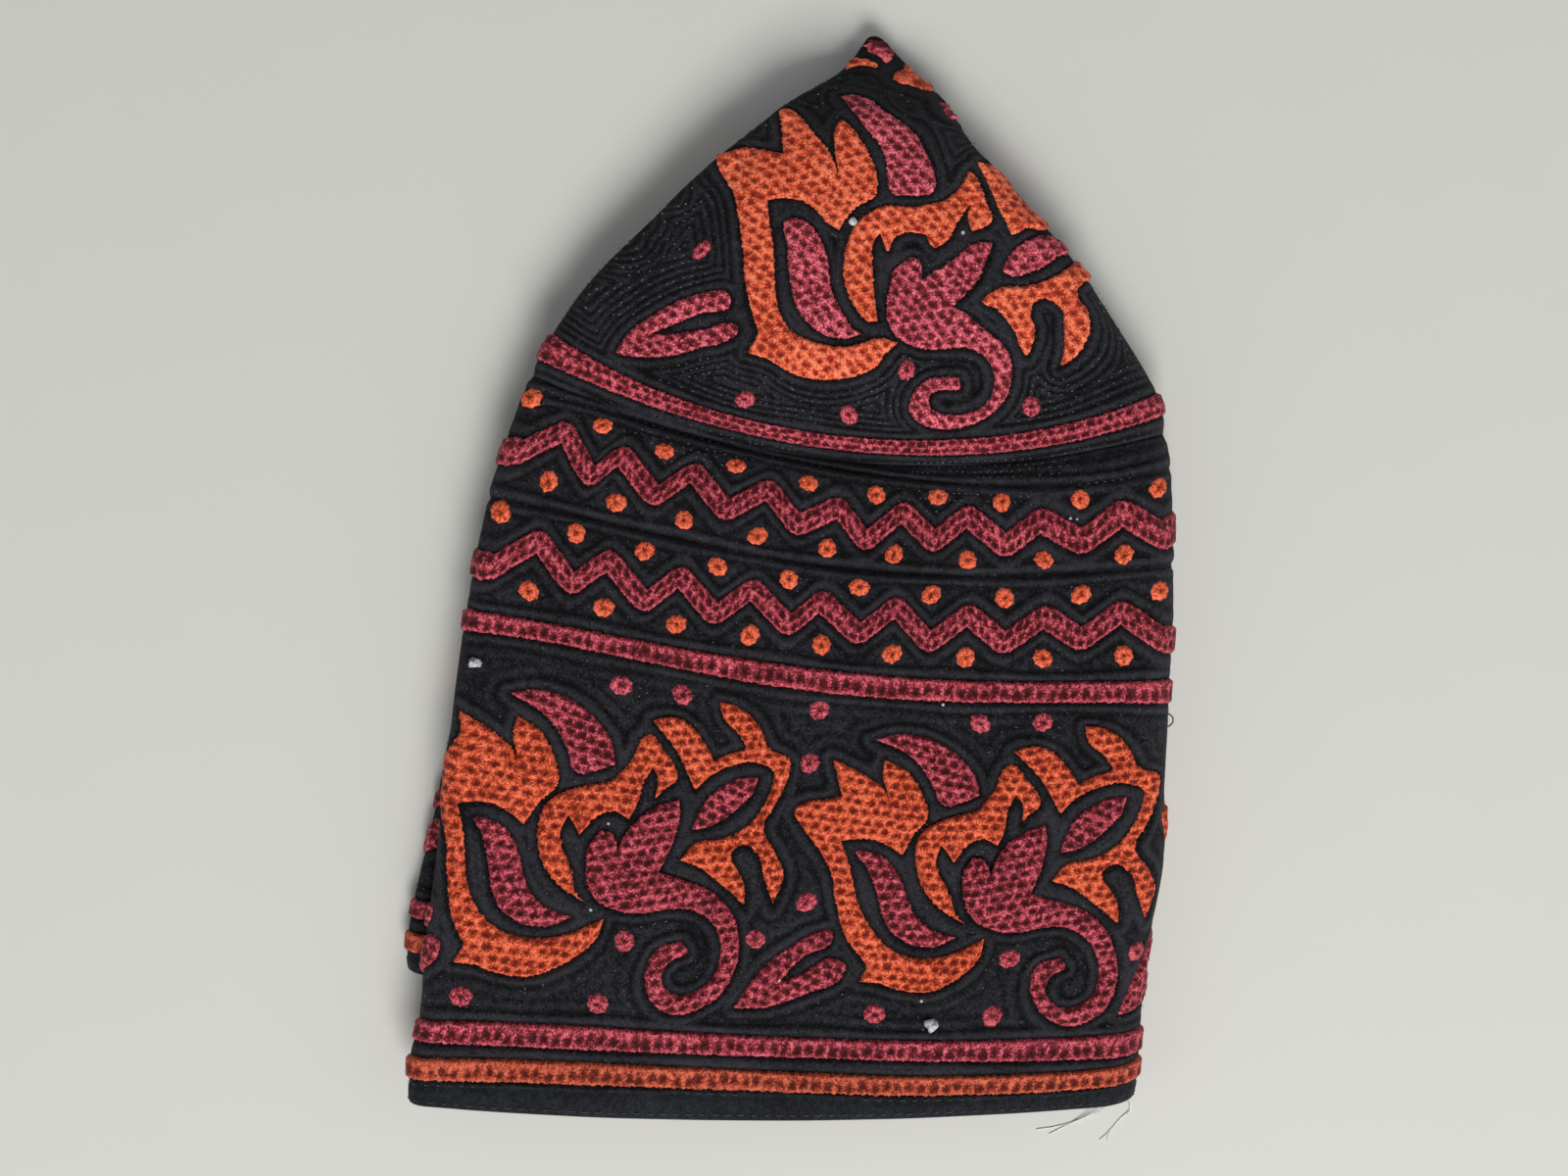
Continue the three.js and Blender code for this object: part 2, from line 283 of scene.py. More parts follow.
# One flower of the side band, which has eight like it: thread, grain in degrees, outline.
BAND_FLOWER = {
    "calyx": ("orange", 4, """809 831* 812 824 825 817 840 816 859 812* 855 795 850 774* 875 786
        901 805 908 818* 900 785 902 774* 925 786 943 815 947 832 930 855 921 873* 900 860
        880 856 858 858* 868 885 878 925 888 945 900 960 915 971 935 977 955 977 975 972
        990 965 1004 958* 1000 975 990 988 975 1000 945 1013 915 1010 890 1003 877 1002*
        884 985* 862 955 855 935 850 912 847 892 840 875 822 850"""),
    "inner leaf": ("rose", 0, """873 868 885 868 900 873 912 885 920 900 925 915 932 930 945 945
        960 953 975 957* 950 967 935 966 920 960 908 950 900 935 895 918 890 900 883 885"""),
    "crescent": ("rose", 12, """891 755* 905 750 925 748 945 752 965 762 982 775 993 788 1000 812*
        978 820 965 823 958 818 955 808 948 795 940 783 928 772 915 765"""),
    "hook": ("orange", 0, """985 943* 965 932 945 912 935 885 936 858 943 848 955 840 975 833
        995 828 1015 805 1027 782 1032 780 1048 795 1058 807 1063 820 1050 833 1042 842*
        1042 820 1037 812* 1030 825 1024 850 1018 863* 1003 856 988 862 973 880* 965 868
        960 862* 955 880 960 895 968 910 978 937"""),
    "petals": ("orange", -10, """1035 767* 1045 763 1062 762 1075 768 1092 787 1100 800* 1120 790
        1135 785 1130 775 1110 755 1107 741* 1125 743 1140 750 1152 762 1163 782 1182 790
        1180 815 1168 845 1160 862 1172 885 1178 905 1168 940* 1160 915 1150 890 1137 883
        1125 893 1132 905 1140 920 1141 943* 1120 925 1090 905 1072 900* 1085 883 1115 875
        1140 860 1160 832 1166 805 1145 799 1115 806 1090 822 1082 832* 1073 815 1055 787"""),
    "eye leaf": ("rose", 25, """1081 870* 1085 858 1100 832 1115 822 1130 815 1150 813* 1145 830
        1135 842 1110 862 1095 869"""),
    "spiral": ("rose", -12, """993 876 985 885 983 915 987 930 995 940 1010 948 1030 952 1070 946
        1085 946 1100 952 1112 962 1121 990 1112 1018 1088 1028 1070 1018 1067 1008
        1075 995 1088 988 1080 976* 1057 985 1050 1008 1062 1035 1092 1047 1125 1032
        1140 995 1132 955 1105 928 1075 918 1052 912* 1063 885 1068 850 1066 841* 1040 852
        1015 880 1011 893* 1003 877"""),
    "split leaf": ("rose", 25, """747 1029* 765 1003 780 985 800 970 835 950 848 948 849 960
        820 976 795 1002* 815 995 850 977 863 985 858 998 825 1013 780 1028"""),
}

# One flower of the crown, which has four like it.
CROWN_FLOWER = {
    "calyx": ("orange", 0, """733 160* 740 156 760 150 780 153 799 157* 796 114* 803 112 822 125
        835 140 847 155 855 176* 851 150 851 130 857 120* 865 125 877 140 888 160 894 178
        895 190 893 200 885 205 870 215 862 225 856 235* 845 228 833 215 820 206 800 203
        783 204* 786 225 790 250 791 280 793 300 797 320 805 335 820 345 840 352 860 354
        880 350 895 345 916 350* 905 360 893 375 875 383 850 388 830 387 810 382 785 368
        761 361* 772 340* 765 320 760 295 757 265 755 240 752 215 747 195 737 180"""),
    "inner leaf": ("rose", 0, """800 226 810 222 820 225 832 235 840 250 845 270 847 290 852 305
        860 320 870 335 879 341* 865 345 850 345 835 338 820 325 812 312 807 295 804 270
        803 250"""),
    "crescent": ("rose", 0, """856 98* 870 96 885 100 900 112 920 125 935 138 945 155 953 175
        954 190 950 197 940 200 925 200 912 198 907 190 905 175 903 160 895 145 885 133
        875 120 865 110"""),
    "hook": ("orange", 0, """895 328* 885 328 873 315 865 300 861 285 861 265 865 245 872 230
        885 218 900 211 925 210 945 209 962 205 975 195 985 180 988 172* 997 182 1003 195
        1008 210 1013 225 1008 230 992 236* 988 225 990 208* 985 215 975 230 967 245
        954 255* 947 248 945 241* 930 238 915 242 906 259* 902 250 898 238* 892 245 890 260
        891 285 893 310"""),
    "flame": ("orange", 0, """997 165* 1010 170 1025 185 1040 200 1055 212 1069 233* 1060 235
        1047 232 1038 238 1032 240* 1025 225 1018 210 1010 190"""),
    "eye petal": ("rose", 0, """1022 277* 1030 260 1040 250 1055 243 1070 242 1085 250 1088 258
        1078 262 1065 272 1050 278 1035 282"""),
    "claw": ("orange", 0, """1000 307* 1010 298 1020 293 1045 292 1065 287 1085 277 1097 268
        1103 272 1111 283 1103 290 1098 295* 1100 305 1108 315 1112 330 1108 350 1100 362
        1090 370 1079 377* 1083 365 1085 350 1085 335 1083 315 1075 308 1065 305 1055 310
        1053 325 1057 335 1055 350 1048 366* 1040 355 1035 340 1025 325 1015 315 1005 312"""),
    "heart": ("rose", 0, """1013 247* 1000 247 990 250 980 258 965 268 950 278 941 285* 941 272
        937 263 930 262 922 267 912 275 908 290 905 305 905 325 912 340 925 350 940 356
        960 357 990 357 1005 365 1013 380 1013 395 1005 412 990 420 970 423 955 420 948 412
        950 402 960 398 980 397 979 385* 965 384 945 388 930 405 928 420 938 432 955 438
        975 438 1000 430 1020 415 1032 390 1032 370 1025 352 1010 340 997 328 985 318
        974 313* 985 303 1000 285 1005 270 1010 258"""),
    "split leaf": ("rose", 0, """627 360* 640 340 660 325 690 308 720 298 742 297 747 305
        745 315 738 318 715 320 690 330 663 341* 690 340 720 335 745 328 755 332 753 342
        740 350 715 355 690 362 660 365 640 364"""),
    "tip petal": ("rose", 0, """877 49* 884 41 891 37 901 40 909 49 913 57 904 64 898 58 886 53"""),
    "tip arc": ("orange", 0, """863 71* 869 63 880 59 888 61 896 67 893 70* 884 67 874 67"""),
    "tip patch": ("orange", 0, """912 81 915 74 923 66 928 68 931 74 938 80 947 86 952 92 944 93
        932 90 923 86"""),
    "tip sliver": ("rose", 0, """958 103* 965 108 971 115 976 123* 969 122 962 113"""),
}

# Turning points of the two zigzags: the upper tips, then the lower ones.
ZIGZAGS = (
    ("580 430 637 454 710 472 786 490 857 508 922 512 988 516 1062 520 1145 512",
     "526 471 600 497 666 516 739 530 812 545 882 562 952 562 1025 567 1103 563 1184 557"),
    ("552 541 623 561 696 578 769 591 839 603 915 609 989 617 1067 619 1145 614",
     "499 589 582 606 656 624 728 637 804 648 875 657 947 665 1023 666 1102 662 1184 662"),
)

# Middles of the round dots of the front quarter.
ORANGE_DOTS = """542 406 615 434 678 460 751 475 825 493 894 505 957 507 1022 512 1102 509
    1181 497 560 491 629 513 698 531 773 547 844 560 912 566 987 572 1065 572 1146 567
    511 522 588 544 658 562 732 578 805 591 877 599 950 607 1025 610 1103 607 1183 603
    540 603 616 620 690 637 765 648 838 658 910 667 985 671 1064 672 1146 669"""
ROSE_DOTS = """470 1017 610 1024 637 960 770 958 823 920 826 779 892 1035 1012 1037
    1030 978 1158 971 634 699 696 709 836 724 1000 738 1064 737 716 255 925 378 760 408
    866 424 1052 415"""

# Thread, lower and upper edge of each stripe round the cap, and its rows of needle holes.
STRIPES = (
    ("orange", "420 1101 540 1105 700 1111 820 1115 960 1118 1040 1116 1140 1107 1158 1101",
     "420 1078 540 1081 700 1089 780 1094 900 1096 1040 1097 1140 1089 1160 1080", 1),
    ("rose", "425 1062 540 1068 700 1076 820 1080 900 1081 1040 1083 1140 1080 1160 1073",
     "428 1038 540 1044 700 1053 820 1061 900 1060 1040 1061 1140 1056 1160 1050", 1),
    ("rose", "480 644 560 655 643 672 800 702 900 712 1000 716 1100 718 1188 717",
     "480 622 560 635 643 652 800 678 900 690 1000 694 1100 697 1188 693", 1),
    ("rose", "550 367 600 390 680 421 760 440 900 463 1000 465 1100 447 1184 425",
     "566 343 600 362 680 402 760 428 900 446 1000 449 1100 428 1178 403", 2),
)

# The crease between the zigzags, and the stitched line under the crown's seam.
CREASE_LINE = """505 507 533 516 609 532 641 539 671 543 710 553 756 564 801 571 840 578 897 584
    955 588 1024 589 1070 585 1138 581 1190 578"""
TOP_STITCH_LINE = """600 413 640 428 705 445 756 457 815 470 840 478 932 491 1000 494 1051 497
    1099 494 1145 488 1184 482"""

# Lint on the front: place and radius in chart units.
LINT = np.array([
    [603, 928, 1.6], [621, 840, 1.5], [795, 1000, 1.7], [940, 1021, 1.8], [950, 1047, 6.0],
    [485, 677, 5.5], [870, 227, 4.4], [982, 238, 1.9], [561, 598, 1.8], [962, 719, 1.7],
    [1092, 529, 1.5], [1099, 530, 1.3],
])

# Patterns on the cloth

QUARTER = 140.75
FLOWER_PERIOD = 0.5
THREAD_ROW = 2.0
NEEDLE_STEP = 2.15
FINE, MIDDLING, ROUGH = 0.42, 0.9, 1.6
OUTLINE_STEP = 0.28
SUNK = -0.5
JOINT = 0.04
BAND_ROLL = 2.4
CROWN_EDGE_ROLL = 2.2
CROWN_ROLL = 1.4

# How far the cloth can rise from its table: whole in front, pressed between the layers and
# on the table. The columns are the place round the cap, the share of relief and of swell,
# and how far the layer is pressed in.
PRESSED = np.array([
    [0.00, 1.00, 1.0, 0.00], [1.00, 1.00, 1.0, 0.00], [1.03, 0.45, 0.3, 0.30],
    [2.84, 0.45, 0.3, 0.30], [2.91, 1.00, 1.0, 0.00], [2.98, 1.00, 0.6, 0.00],
    [3.02, 0.45, 0.1, 0.50], [3.92, 0.45, 0.1, 0.50], [3.955, 1.00, 0.5, 0.00],
    [4.00, 1.00, 1.0, 0.00],
])


def pressed(around, column):
    return np.interp(np.mod(around, 4), PRESSED[:, 0], PRESSED[:, column])


def to_fold(around):
    """Quarters of the cap from a place to the nearest fold."""
    return abs(np.mod(around + 0.5, 1) - 0.5)


def mirrored(around):
    """A place round the cap brought to the front quarter, back and forth across the folds."""
    return abs(np.mod(around + 1, 2) - 1)


def charted_edge(text):
    """Height of a charted line round the cap: a curve of the fourth degree through the
    front's charted points, the same again across each fold."""
    around, height = on_cloth(read(text)[0])
    curve = np.polyfit(around, height, 4)
    return lambda place: np.polyval(curve, np.clip(mirrored(place), 0.02, 0.99))


CREASE = charted_edge(CREASE_LINE)
TOP_STITCHES = charted_edge(TOP_STITCH_LINE)


def swell(around, height):
    """Soft undulation of the quilted cloth: crossed sine waves of the place round the cap and
    the height, smaller where layers press on each other, with dips at the crown's seam, at
    the crease between the zigzags and at the stitching under the seam. Half of it is left
    on the folds."""
    x = around * QUARTER
    waves = (0.30 * np.sin(x / 10.5 + 1.4 * np.sin(height / 19)) * np.sin(height / 12.5 + 0.7)
             + 0.16 * np.sin(x / 5.1 + height / 8.3) * np.cos(height / 6.2 - x / 23)
             + 0.10 * np.sin(x / 3.1 - height / 4.3))
    seam = abs(height - SEAM_HEIGHT)
    dip = 0.9 * np.exp(-((seam / 1.1) ** 2)) + 0.35 * np.exp(-((seam / 3.0) ** 2))
    crease = height - CREASE(around)
    dip = dip + 0.85 * np.exp(-((crease / 0.75) ** 2))
    dip = dip - 0.35 * np.exp(-(((crease - 2) / 1.5) ** 2))
    dip = dip + 0.45 * np.exp(-(((height - TOP_STITCHES(around)) / 0.7) ** 2))
    eased = 0.45 + 0.55 * smooth(to_fold(around) / 0.05)
    return pressed(around, 2) * eased * (waves - dip) - pressed(around, 3)


def chance(run, row, hole, number):
    """A number from 0 to 1 that looks random, the same for the same row, hole and number: the
    fraction of a large multiple of a sine. run works out each sum, on arrays or as nodes."""
    turn = run("MULTIPLY_ADD", row, 1.271, 0.747 * number)
    turn = run("MULTIPLY_ADD", hole, 3.117, turn)
    return run("FRACT", run("MULTIPLY", run("SINE", turn), 437.58))


def needle_holes(run, along, across):
    """Loop stitching. Holes stand in rows, half a step apart from row to row and out of line
    by a little. far is the distance from the nearest hole in sizes of the hole, loop goes
    from 0 in it to 1 on the loops round it as an exponential of a power of that distance,
    and dx and dy are the way from it in mm. run works out each sum, on arrays or as nodes."""
    row = run("FLOOR", run("DIVIDE", across, THREAD_ROW))
    step = run("MULTIPLY_ADD", run("FLOORED_MODULO", row, 2.0), 0.5,
               run("DIVIDE", along, NEEDLE_STEP))
    step = run("MULTIPLY_ADD", chance(run, row, 0.0, 7), 0.13, step)
    hole = run("FLOOR", step)
    dx = run("SUBTRACT", run("SUBTRACT", step, hole), 0.67)
    dx = run("MULTIPLY", run("MULTIPLY_ADD", chance(run, row, hole, 1), 0.34, dx), NEEDLE_STEP)
    middle = run("MULTIPLY_ADD", chance(run, row, hole, 2), 0.3, run("ADD", row, 0.35))
    dy = run("MULTIPLY_ADD", middle, -THREAD_ROW, across)
    dy = run("MULTIPLY_ADD", run("MULTIPLY", dx, dx), 0.18, dy)
    size = run("MULTIPLY_ADD", chance(run, row, hole, 3), 0.26, 0.58)
    deep = run("MULTIPLY_ADD", chance(run, row, hole, 4), 0.3, 0.7)
    wide = run("DIVIDE", dx, run("MULTIPLY", size, 1.2))
    tall = run("DIVIDE", dy, run("MULTIPLY", size, 0.9))
    far = run("SQRT", run("ADD", run("MULTIPLY", wide, wide), run("MULTIPLY", tall, tall)))
    sunk = run("EXPONENT", run("MULTIPLY", run("POWER", far, 1.7), -1.0))
    loop = run("SUBTRACT", 1.0, run("MULTIPLY", deep, sunk))
    return {"loop": loop, "far": far, "dx": dx, "dy": dy, "number": chance(run, row, hole, 5)}


ARRAY_SUMS = {
    "ADD": np.add, "SUBTRACT": np.subtract, "MULTIPLY": np.multiply, "DIVIDE": np.divide,
    "MULTIPLY_ADD": lambda a, b, c: a * b + c, "FLOOR": np.floor, "FLOORED_MODULO": np.mod,
    "FRACT": lambda a: a - np.floor(a), "SINE": np.sin, "SQRT": np.sqrt, "POWER": np.power,
    "EXPONENT": np.exp,
}


def on_arrays(operation, *values):
    return ARRAY_SUMS[operation](*values)


def scatter(i, j, number):
    return chance(on_arrays, i, j, number)


def pile(depth, loop, thick):
    """Height of raised embroidery: a quarter-ellipse edge 0.8 mm wide, sunk at needle holes."""
    edge = np.sqrt(np.clip(1 - (1 - np.clip(depth / 0.8, 0, 1)) ** 2, 0, 1))
    return thick * edge * (1 - 0.45 * (1 - loop))


def outline(points, sharp, step):
    """A closed Hermite curve through the points, with the slope of the parabola through three
    of them, or of the chord at a sharp one, cut into pieces of about one step."""
    after, before = np.roll(points, -1, 0), np.roll(points, 1, 0)
    chord = np.linalg.norm(after - points, axis=1)
    last = np.roll(chord, 1)
    forward = (after - points) / chord[:, None]
    backward = (points - before) / last[:, None]
    bend = (forward * last[:, None] + backward * chord[:, None]) / (chord + last)[:, None]
    leave = np.where(sharp[:, None], forward, bend) * chord[:, None]
    arrive = np.where(sharp[:, None], backward, bend) * last[:, None]
    arrive = np.roll(arrive, -1, 0)
    pieces = np.maximum(1, np.rint(chord / step)).astype(int)
    start = np.concatenate([[0], np.cumsum(pieces)[:-1]])
    k = np.repeat(np.arange(len(points)), pieces)
    t = ((np.arange(len(k)) - start[k]) / pieces[k])[:, None]
    return (points[k] * (1 + 2 * t) * (1 - t) ** 2 + leave[k] * t * (1 - t) ** 2
            + after[k] * t * t * (3 - 2 * t) + arrive[k] * t * t * (t - 1))


def frayed(loop, amount=0.2):
    """A closed outline with the teeth of thread ends: each point moved in or out by chance
    along the outline's outward direction, none where it turns sharply."""
    tangent = unit(np.roll(loop, -1, 0) - np.roll(loop, 1, 0))
    tooth = amount * (2 * scatter(np.arange(len(loop)), 0.0, 6) - 1)
    turning = (tangent * np.roll(tangent, 2, 0)).sum(1)
    tooth *= smooth(np.minimum.reduce([np.roll(turning, n) for n in range(-5, 6)]))
    return loop + turned_right(tangent) * tooth[:, None]


def to_edge(points, loop):
    """Each point's distance to a closed outline."""
    start, span = loop, np.roll(loop, -1, 0) - loop
    length = np.linalg.norm(span, axis=1)
    depth = np.empty(len(points))
    for low in range(0, len(points), 1500):
        some = points[low:low + 1500, None] - start[None]
        t = np.clip((some * span).sum(-1) / (length**2), 0, 1)
        depth[low:low + 1500] = np.linalg.norm(some - t[..., None] * span, axis=-1).min(1)
    return depth


def inside(points, loop):
    """Whether points lie inside a closed outline: a ray to the right crosses it an odd number
    of times."""
    a, b = loop, np.roll(loop, -1, 0)
    count = np.zeros(len(points), int)
    for low in range(0, len(points), 4000):
        x, y = points[low:low + 4000, 0, None], points[low:low + 4000, 1, None]
        spans = (a[:, 1] > y) != (b[:, 1] > y)
        cross = (b[:, 0] - a[:, 0]) * (y - a[:, 1]) / (b[:, 1] - a[:, 1] + 1e-12) + a[:, 0]
        count[low:low + 4000] = (spans & (x < cross)).sum(1)
    return count % 2 == 1


def filled(loop, step):
    """A flat patch inside a closed outline: points on a triangular grid, joined with the
    outline by Delaunay triangles. Returns points, triangles and depth from the edge."""
    low, high = loop.min(0), loop.max(0)
    columns = np.arange(low[0], high[0] + step, step)
    triangle_height = 0.866
    rows = np.arange(low[1], high[1] + step, step * triangle_height)
    x, y = np.meshgrid(columns, rows)
    x = x + step / 2 * (np.arange(len(rows)) % 2)[:, None]
    grid = stack(x, y).reshape(-1, 2)
    grid = grid[inside(grid, loop)]
    depth = to_edge(grid, loop)
    keep = depth > 0.6 * step
    points = np.concatenate([loop, grid[keep]])
    count = len(loop)
    flat, _, faces, _, _, within = delaunay_2d_cdt(
        [Vector(p) for p in points.tolist()], [], [list(range(count))], 0, 1e-7, True
    )
    if len(flat) != len(points):
        raise RuntimeError("an embroidered outline crosses itself")
    faces = np.array([face for face, patch in zip(faces, within) if patch])
    a, b, c = (points[faces[:, i]] for i in range(3))
    turned = ((b - a)[:, 0] * (c - a)[:, 1] - (b - a)[:, 1] * (c - a)[:, 0]) < 0
    faces[turned] = faces[turned][:, ::-1]
    return points, faces, np.concatenate([np.zeros(count), depth[keep]])


# Meshes

class Patches:
    """Gathers patches of one piece and makes them one mesh. Each point has its place in mm
    and three marks, which the material reads."""

    def __init__(self):
        self.points, self.marks, self.faces, self.count = [], [], [], 0

    def add(self, points, faces, marks=0.0):
        """Adds points, arrays of faces that number them from 0, and their marks."""
        points = points.reshape(-1, 3)
        self.points.append(points)
        self.marks.append(np.broadcast_to(marks, points.shape))
        self.faces.extend(f + self.count for f in faces)
        self.count += len(points)

    def add_ring(self, points, marks):
        """Adds a grid of points that is closed both ways."""
        rows, columns = points.shape[:2]
        row, column = np.indices((rows, columns)).reshape(2, -1)
        at = lambda up, on: (row + up) % rows * columns + (column + on) % columns
        self.add(points, [stack(at(1, 0), at(1, 1), at(0, 1), at(0, 0))], marks.reshape(-1, 3))

    def add_copies(self, points, faces, marks=0.0):
        """Adds copies of one shape: the first axis counts them, the second their points."""
        start = (np.arange(len(points)) * points.shape[1])[:, None, None]
        self.add(points, [(f + start).reshape(-1, f.shape[1]) for f in faces], marks)

    def piece(self, name, material, slot, layer="thread"):
        points = (np.concatenate(self.points) - MIDDLE) * MM
        mesh = bpy.data.meshes.new(name)
        mesh.from_pydata(points, [], [row for f in self.faces for row in f.tolist()])
        marks = mesh.attributes.new(layer, "FLOAT_VECTOR", "POINT")
        marks.data.foreach_set("vector", np.concatenate(self.marks).astype("f").ravel())
        mesh.shade_smooth()
        mesh.materials.append(material)
        piece = bpy.data.objects.new(name, mesh)
        bpy.context.scene.collection.objects.link(piece)
        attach(piece, "root")
        return piece


def joined(a, b, sides):
    """Four-sided faces between rings of points, given by the number of each one's first."""
    i = np.arange(sides)
    j = (i + 1) % sides
    return stack(a + i, b + i, b + j, a + j).reshape(-1, 4)


def tube_faces(rings, sides, first=0):
    """Four-sided faces of a tube, from ring to ring of its points."""
    start = first + np.arange(rings - 1)[:, None] * sides
    return joined(start, start + sides, sides)


def fan_faces(middle, ring, sides):
    """Three-sided faces from a middle point to a ring of points."""
    i = np.arange(sides)
    return stack(middle, ring + i, ring + (i + 1) % sides)


def round_the_cap(fine, medium, coarse):
    """Places round the cap from the inner fold, which hides the joint, on to it again, with
    a finer step in front and at the back half's pressed fold."""
    parts = ((2, 2.88, coarse), (2.88, 3.12, medium), (3.12, 3.9, medium), (3.9, 5.04, fine),
             (5.04, 6, coarse))
    return np.concatenate([
        np.arange(n) / n * (b - a) + a
        for a, b, step in parts for n in [max(2, round((b - a) * QUARTER / step))]
    ])


# Finishes

def colour(red, green, blue):
    """A colour's linear values from those that a screen shows, from 0 to 255."""
    return tuple((v / 255) ** 2.2 for v in (red, green, blue))


class Finish:
    """A material with one Principled shader, and short calls for the nodes that feed it."""

    def __init__(self, name, roughness, sheen, sheen_tint=(1, 1, 1), specular=0.3):
        self.material = bpy.data.materials.new(name)
        self.material.use_nodes = True
        self.tree = self.material.node_tree
        self.shader = self.tree.nodes["Principled BSDF"]
        self.shader.inputs["Roughness"].default_value = roughness
        self.shader.inputs["Specular IOR Level"].default_value = specular
        self.shader.inputs["Sheen Weight"].default_value = sheen
        self.shader.inputs["Sheen Roughness"].default_value = 0.5
        self.shader.inputs["Sheen Tint"].default_value = (*sheen_tint, 1)

    def node(self, kind, inputs=(), **settings):
        node = self.tree.nodes.new("ShaderNode" + kind)
        for key, value in settings.items():
            setattr(node, key, value)
        for key, value in dict(inputs).items():
            self.put(node.inputs[key], value)
        return node

    def put(self, socket, value):
        if isinstance(value, bpy.types.NodeSocket):
            self.tree.links.new(value, socket)
        else:
            socket.default_value = value

    def math(self, operation, *values):
        node = self.node("Math", operation=operation)
        for socket, value in zip(node.inputs, values):
            self.put(socket, value)
        return node.outputs[0]

    def noise(self, place, scale, detail=2.0, roughness=0.5):
        return self.node("TexNoise", {"Vector": place, "Scale": scale, "Detail": detail,
                                      "Roughness": roughness}).outputs["Fac"]

    def place(self):
        return self.node("TexCoord").outputs["Object"]

    def marks(self, layer):
        node = self.node("Attribute", attribute_name=layer)
        return self.node("SeparateXYZ", {0: node.outputs["Vector"]}).outputs

    def blend(self, share, first, second):
        """A colour mixed from two others."""
        node = self.node("Mix", data_type="RGBA")
        for socket, value in ((node.inputs[0], share), (node.inputs[6], first),
                              (node.inputs[7], second)):
            if isinstance(value, tuple):
                value = (*value, 1)
            self.put(socket, value)
        return node.outputs[2]

    def spread(self, value, low, high):
        """A value stretched so that low gives 0 and high gives 1, and cut off there."""
        return self.node("MapRange", {0: value, 1: low, 2: high}, clamp=True).outputs[0]

    def bump(self, height, depth):
        """A bump of the given height, whose full range is depth metres."""
        node = self.node("Bump", {"Height": height, "Distance": depth, "Strength": 1.0})
        self.put(self.shader.inputs["Normal"], node.outputs[0])

    def uneven(self, shade, *noises):
        """A shade moved up and down by noises, each times its amount."""
        for noise, amount in noises:
            shade = self.math("MULTIPLY_ADD", self.math("SUBTRACT", noise, 0.5), amount, shade)
        return shade

    def base(self, value):
        self.put(self.shader.inputs["Base Color"], value)


def quilted_cotton(name, tint, fading):
    """Black cotton: a fine twill, quilted rolls that follow the embroidery's edges, with shade
    painted in their grooves and a highlight painted on their crests, and pale dust. Each
    roll's contrast is a share of the last one's."""
    finish = Finish(name, 0.85, 0.04, (0.85, 0.9, 1.0), 0.15)
    run = finish.math
    x, y, count = finish.marks("cloth")
    place = finish.place()
    roll = run("POWER", run("ABSOLUTE", run("SINE", run("MULTIPLY", count, math.pi))), 1.6)
    contrast = run("POWER", fading, run("FLOOR", count))
    roll = run("MULTIPLY", run("SUBTRACT", roll, 0.5), contrast)
    slant = run("ADD", x, run("MULTIPLY", y, 0.8))
    twill = run("SINE", run("MULTIPLY", slant, TAU / 0.45))
    fuzz = finish.noise(place, 2100.0, 3.0, 0.65)
    height = run("MULTIPLY_ADD", twill, 0.12, roll)
    finish.bump(run("MULTIPLY_ADD", fuzz, 0.8, height), 0.00042)
    # The roll darkens the colour in its grooves and lightens it on its crests: painted shade and a
    # painted highlight, over random tone from the noises.
    shade = finish.uneven(run("MULTIPLY_ADD", roll, 0.85, 0.33),
                          (finish.noise(place, 90.0, 4.0), 0.9),
                          (finish.noise(place, 800.0, 2.0, 0.6), 1.3), (fuzz, 2.6))
    light = tuple(min(1, v * 5.4 + 0.004) for v in tint)
    ground = finish.blend(finish.spread(shade, 0.0, 1.0), tuple(v * 0.18 for v in tint), light)
    for scale, rare_from, size, strength in (
            (420.0, 0.72, 0.075, 0.5), (1150.0, 0.5, 0.22, 0.2), (1900.0, 0.6, 0.3, 0.09)):
        speck = finish.node("TexVoronoi", {"Vector": place, "Scale": scale, "Randomness": 1.0})
        rare = finish.node("SeparateColor", {0: speck.outputs["Color"]}).outputs[0]
        reach = run("MULTIPLY", finish.spread(rare, rare_from, 1.0), size)
        dust = run("MULTIPLY", run("LESS_THAN", speck.outputs["Distance"], reach), strength)
        ground = finish.blend(dust, ground, (0.30, 0.31, 0.33))
    finish.base(ground)
    return finish.material


def hem_cotton(tint):
    """Plain black cotton tape: a fine weave across its length."""
    finish = Finish("hem_cotton", 0.75, 0.04, (0.8, 0.85, 1.0), 0.2)
    run, place = finish.math, finish.place()
    rib = run("SINE", run("MULTIPLY", finish.marks("cloth")[0], TAU / 0.5))
    fuzz = finish.noise(place, 1600.0, 3.0, 0.65)
    finish.bump(run("ADD", run("MULTIPLY", rib, 0.25), run("MULTIPLY", fuzz, 0.8)), 0.00012)
    shade = finish.uneven(0.3, (finish.noise(place, 120.0, 4.0), 1.0), (fuzz, 2.4),
                          (finish.noise(place, 700.0, 2.0), 1.3))
    finish.base(finish.blend(finish.spread(shade, 0.0, 1.0), tuple(v * 0.35 for v in tint),
                             tuple(v * 3.0 + 0.003 for v in tint)))
    return finish.material


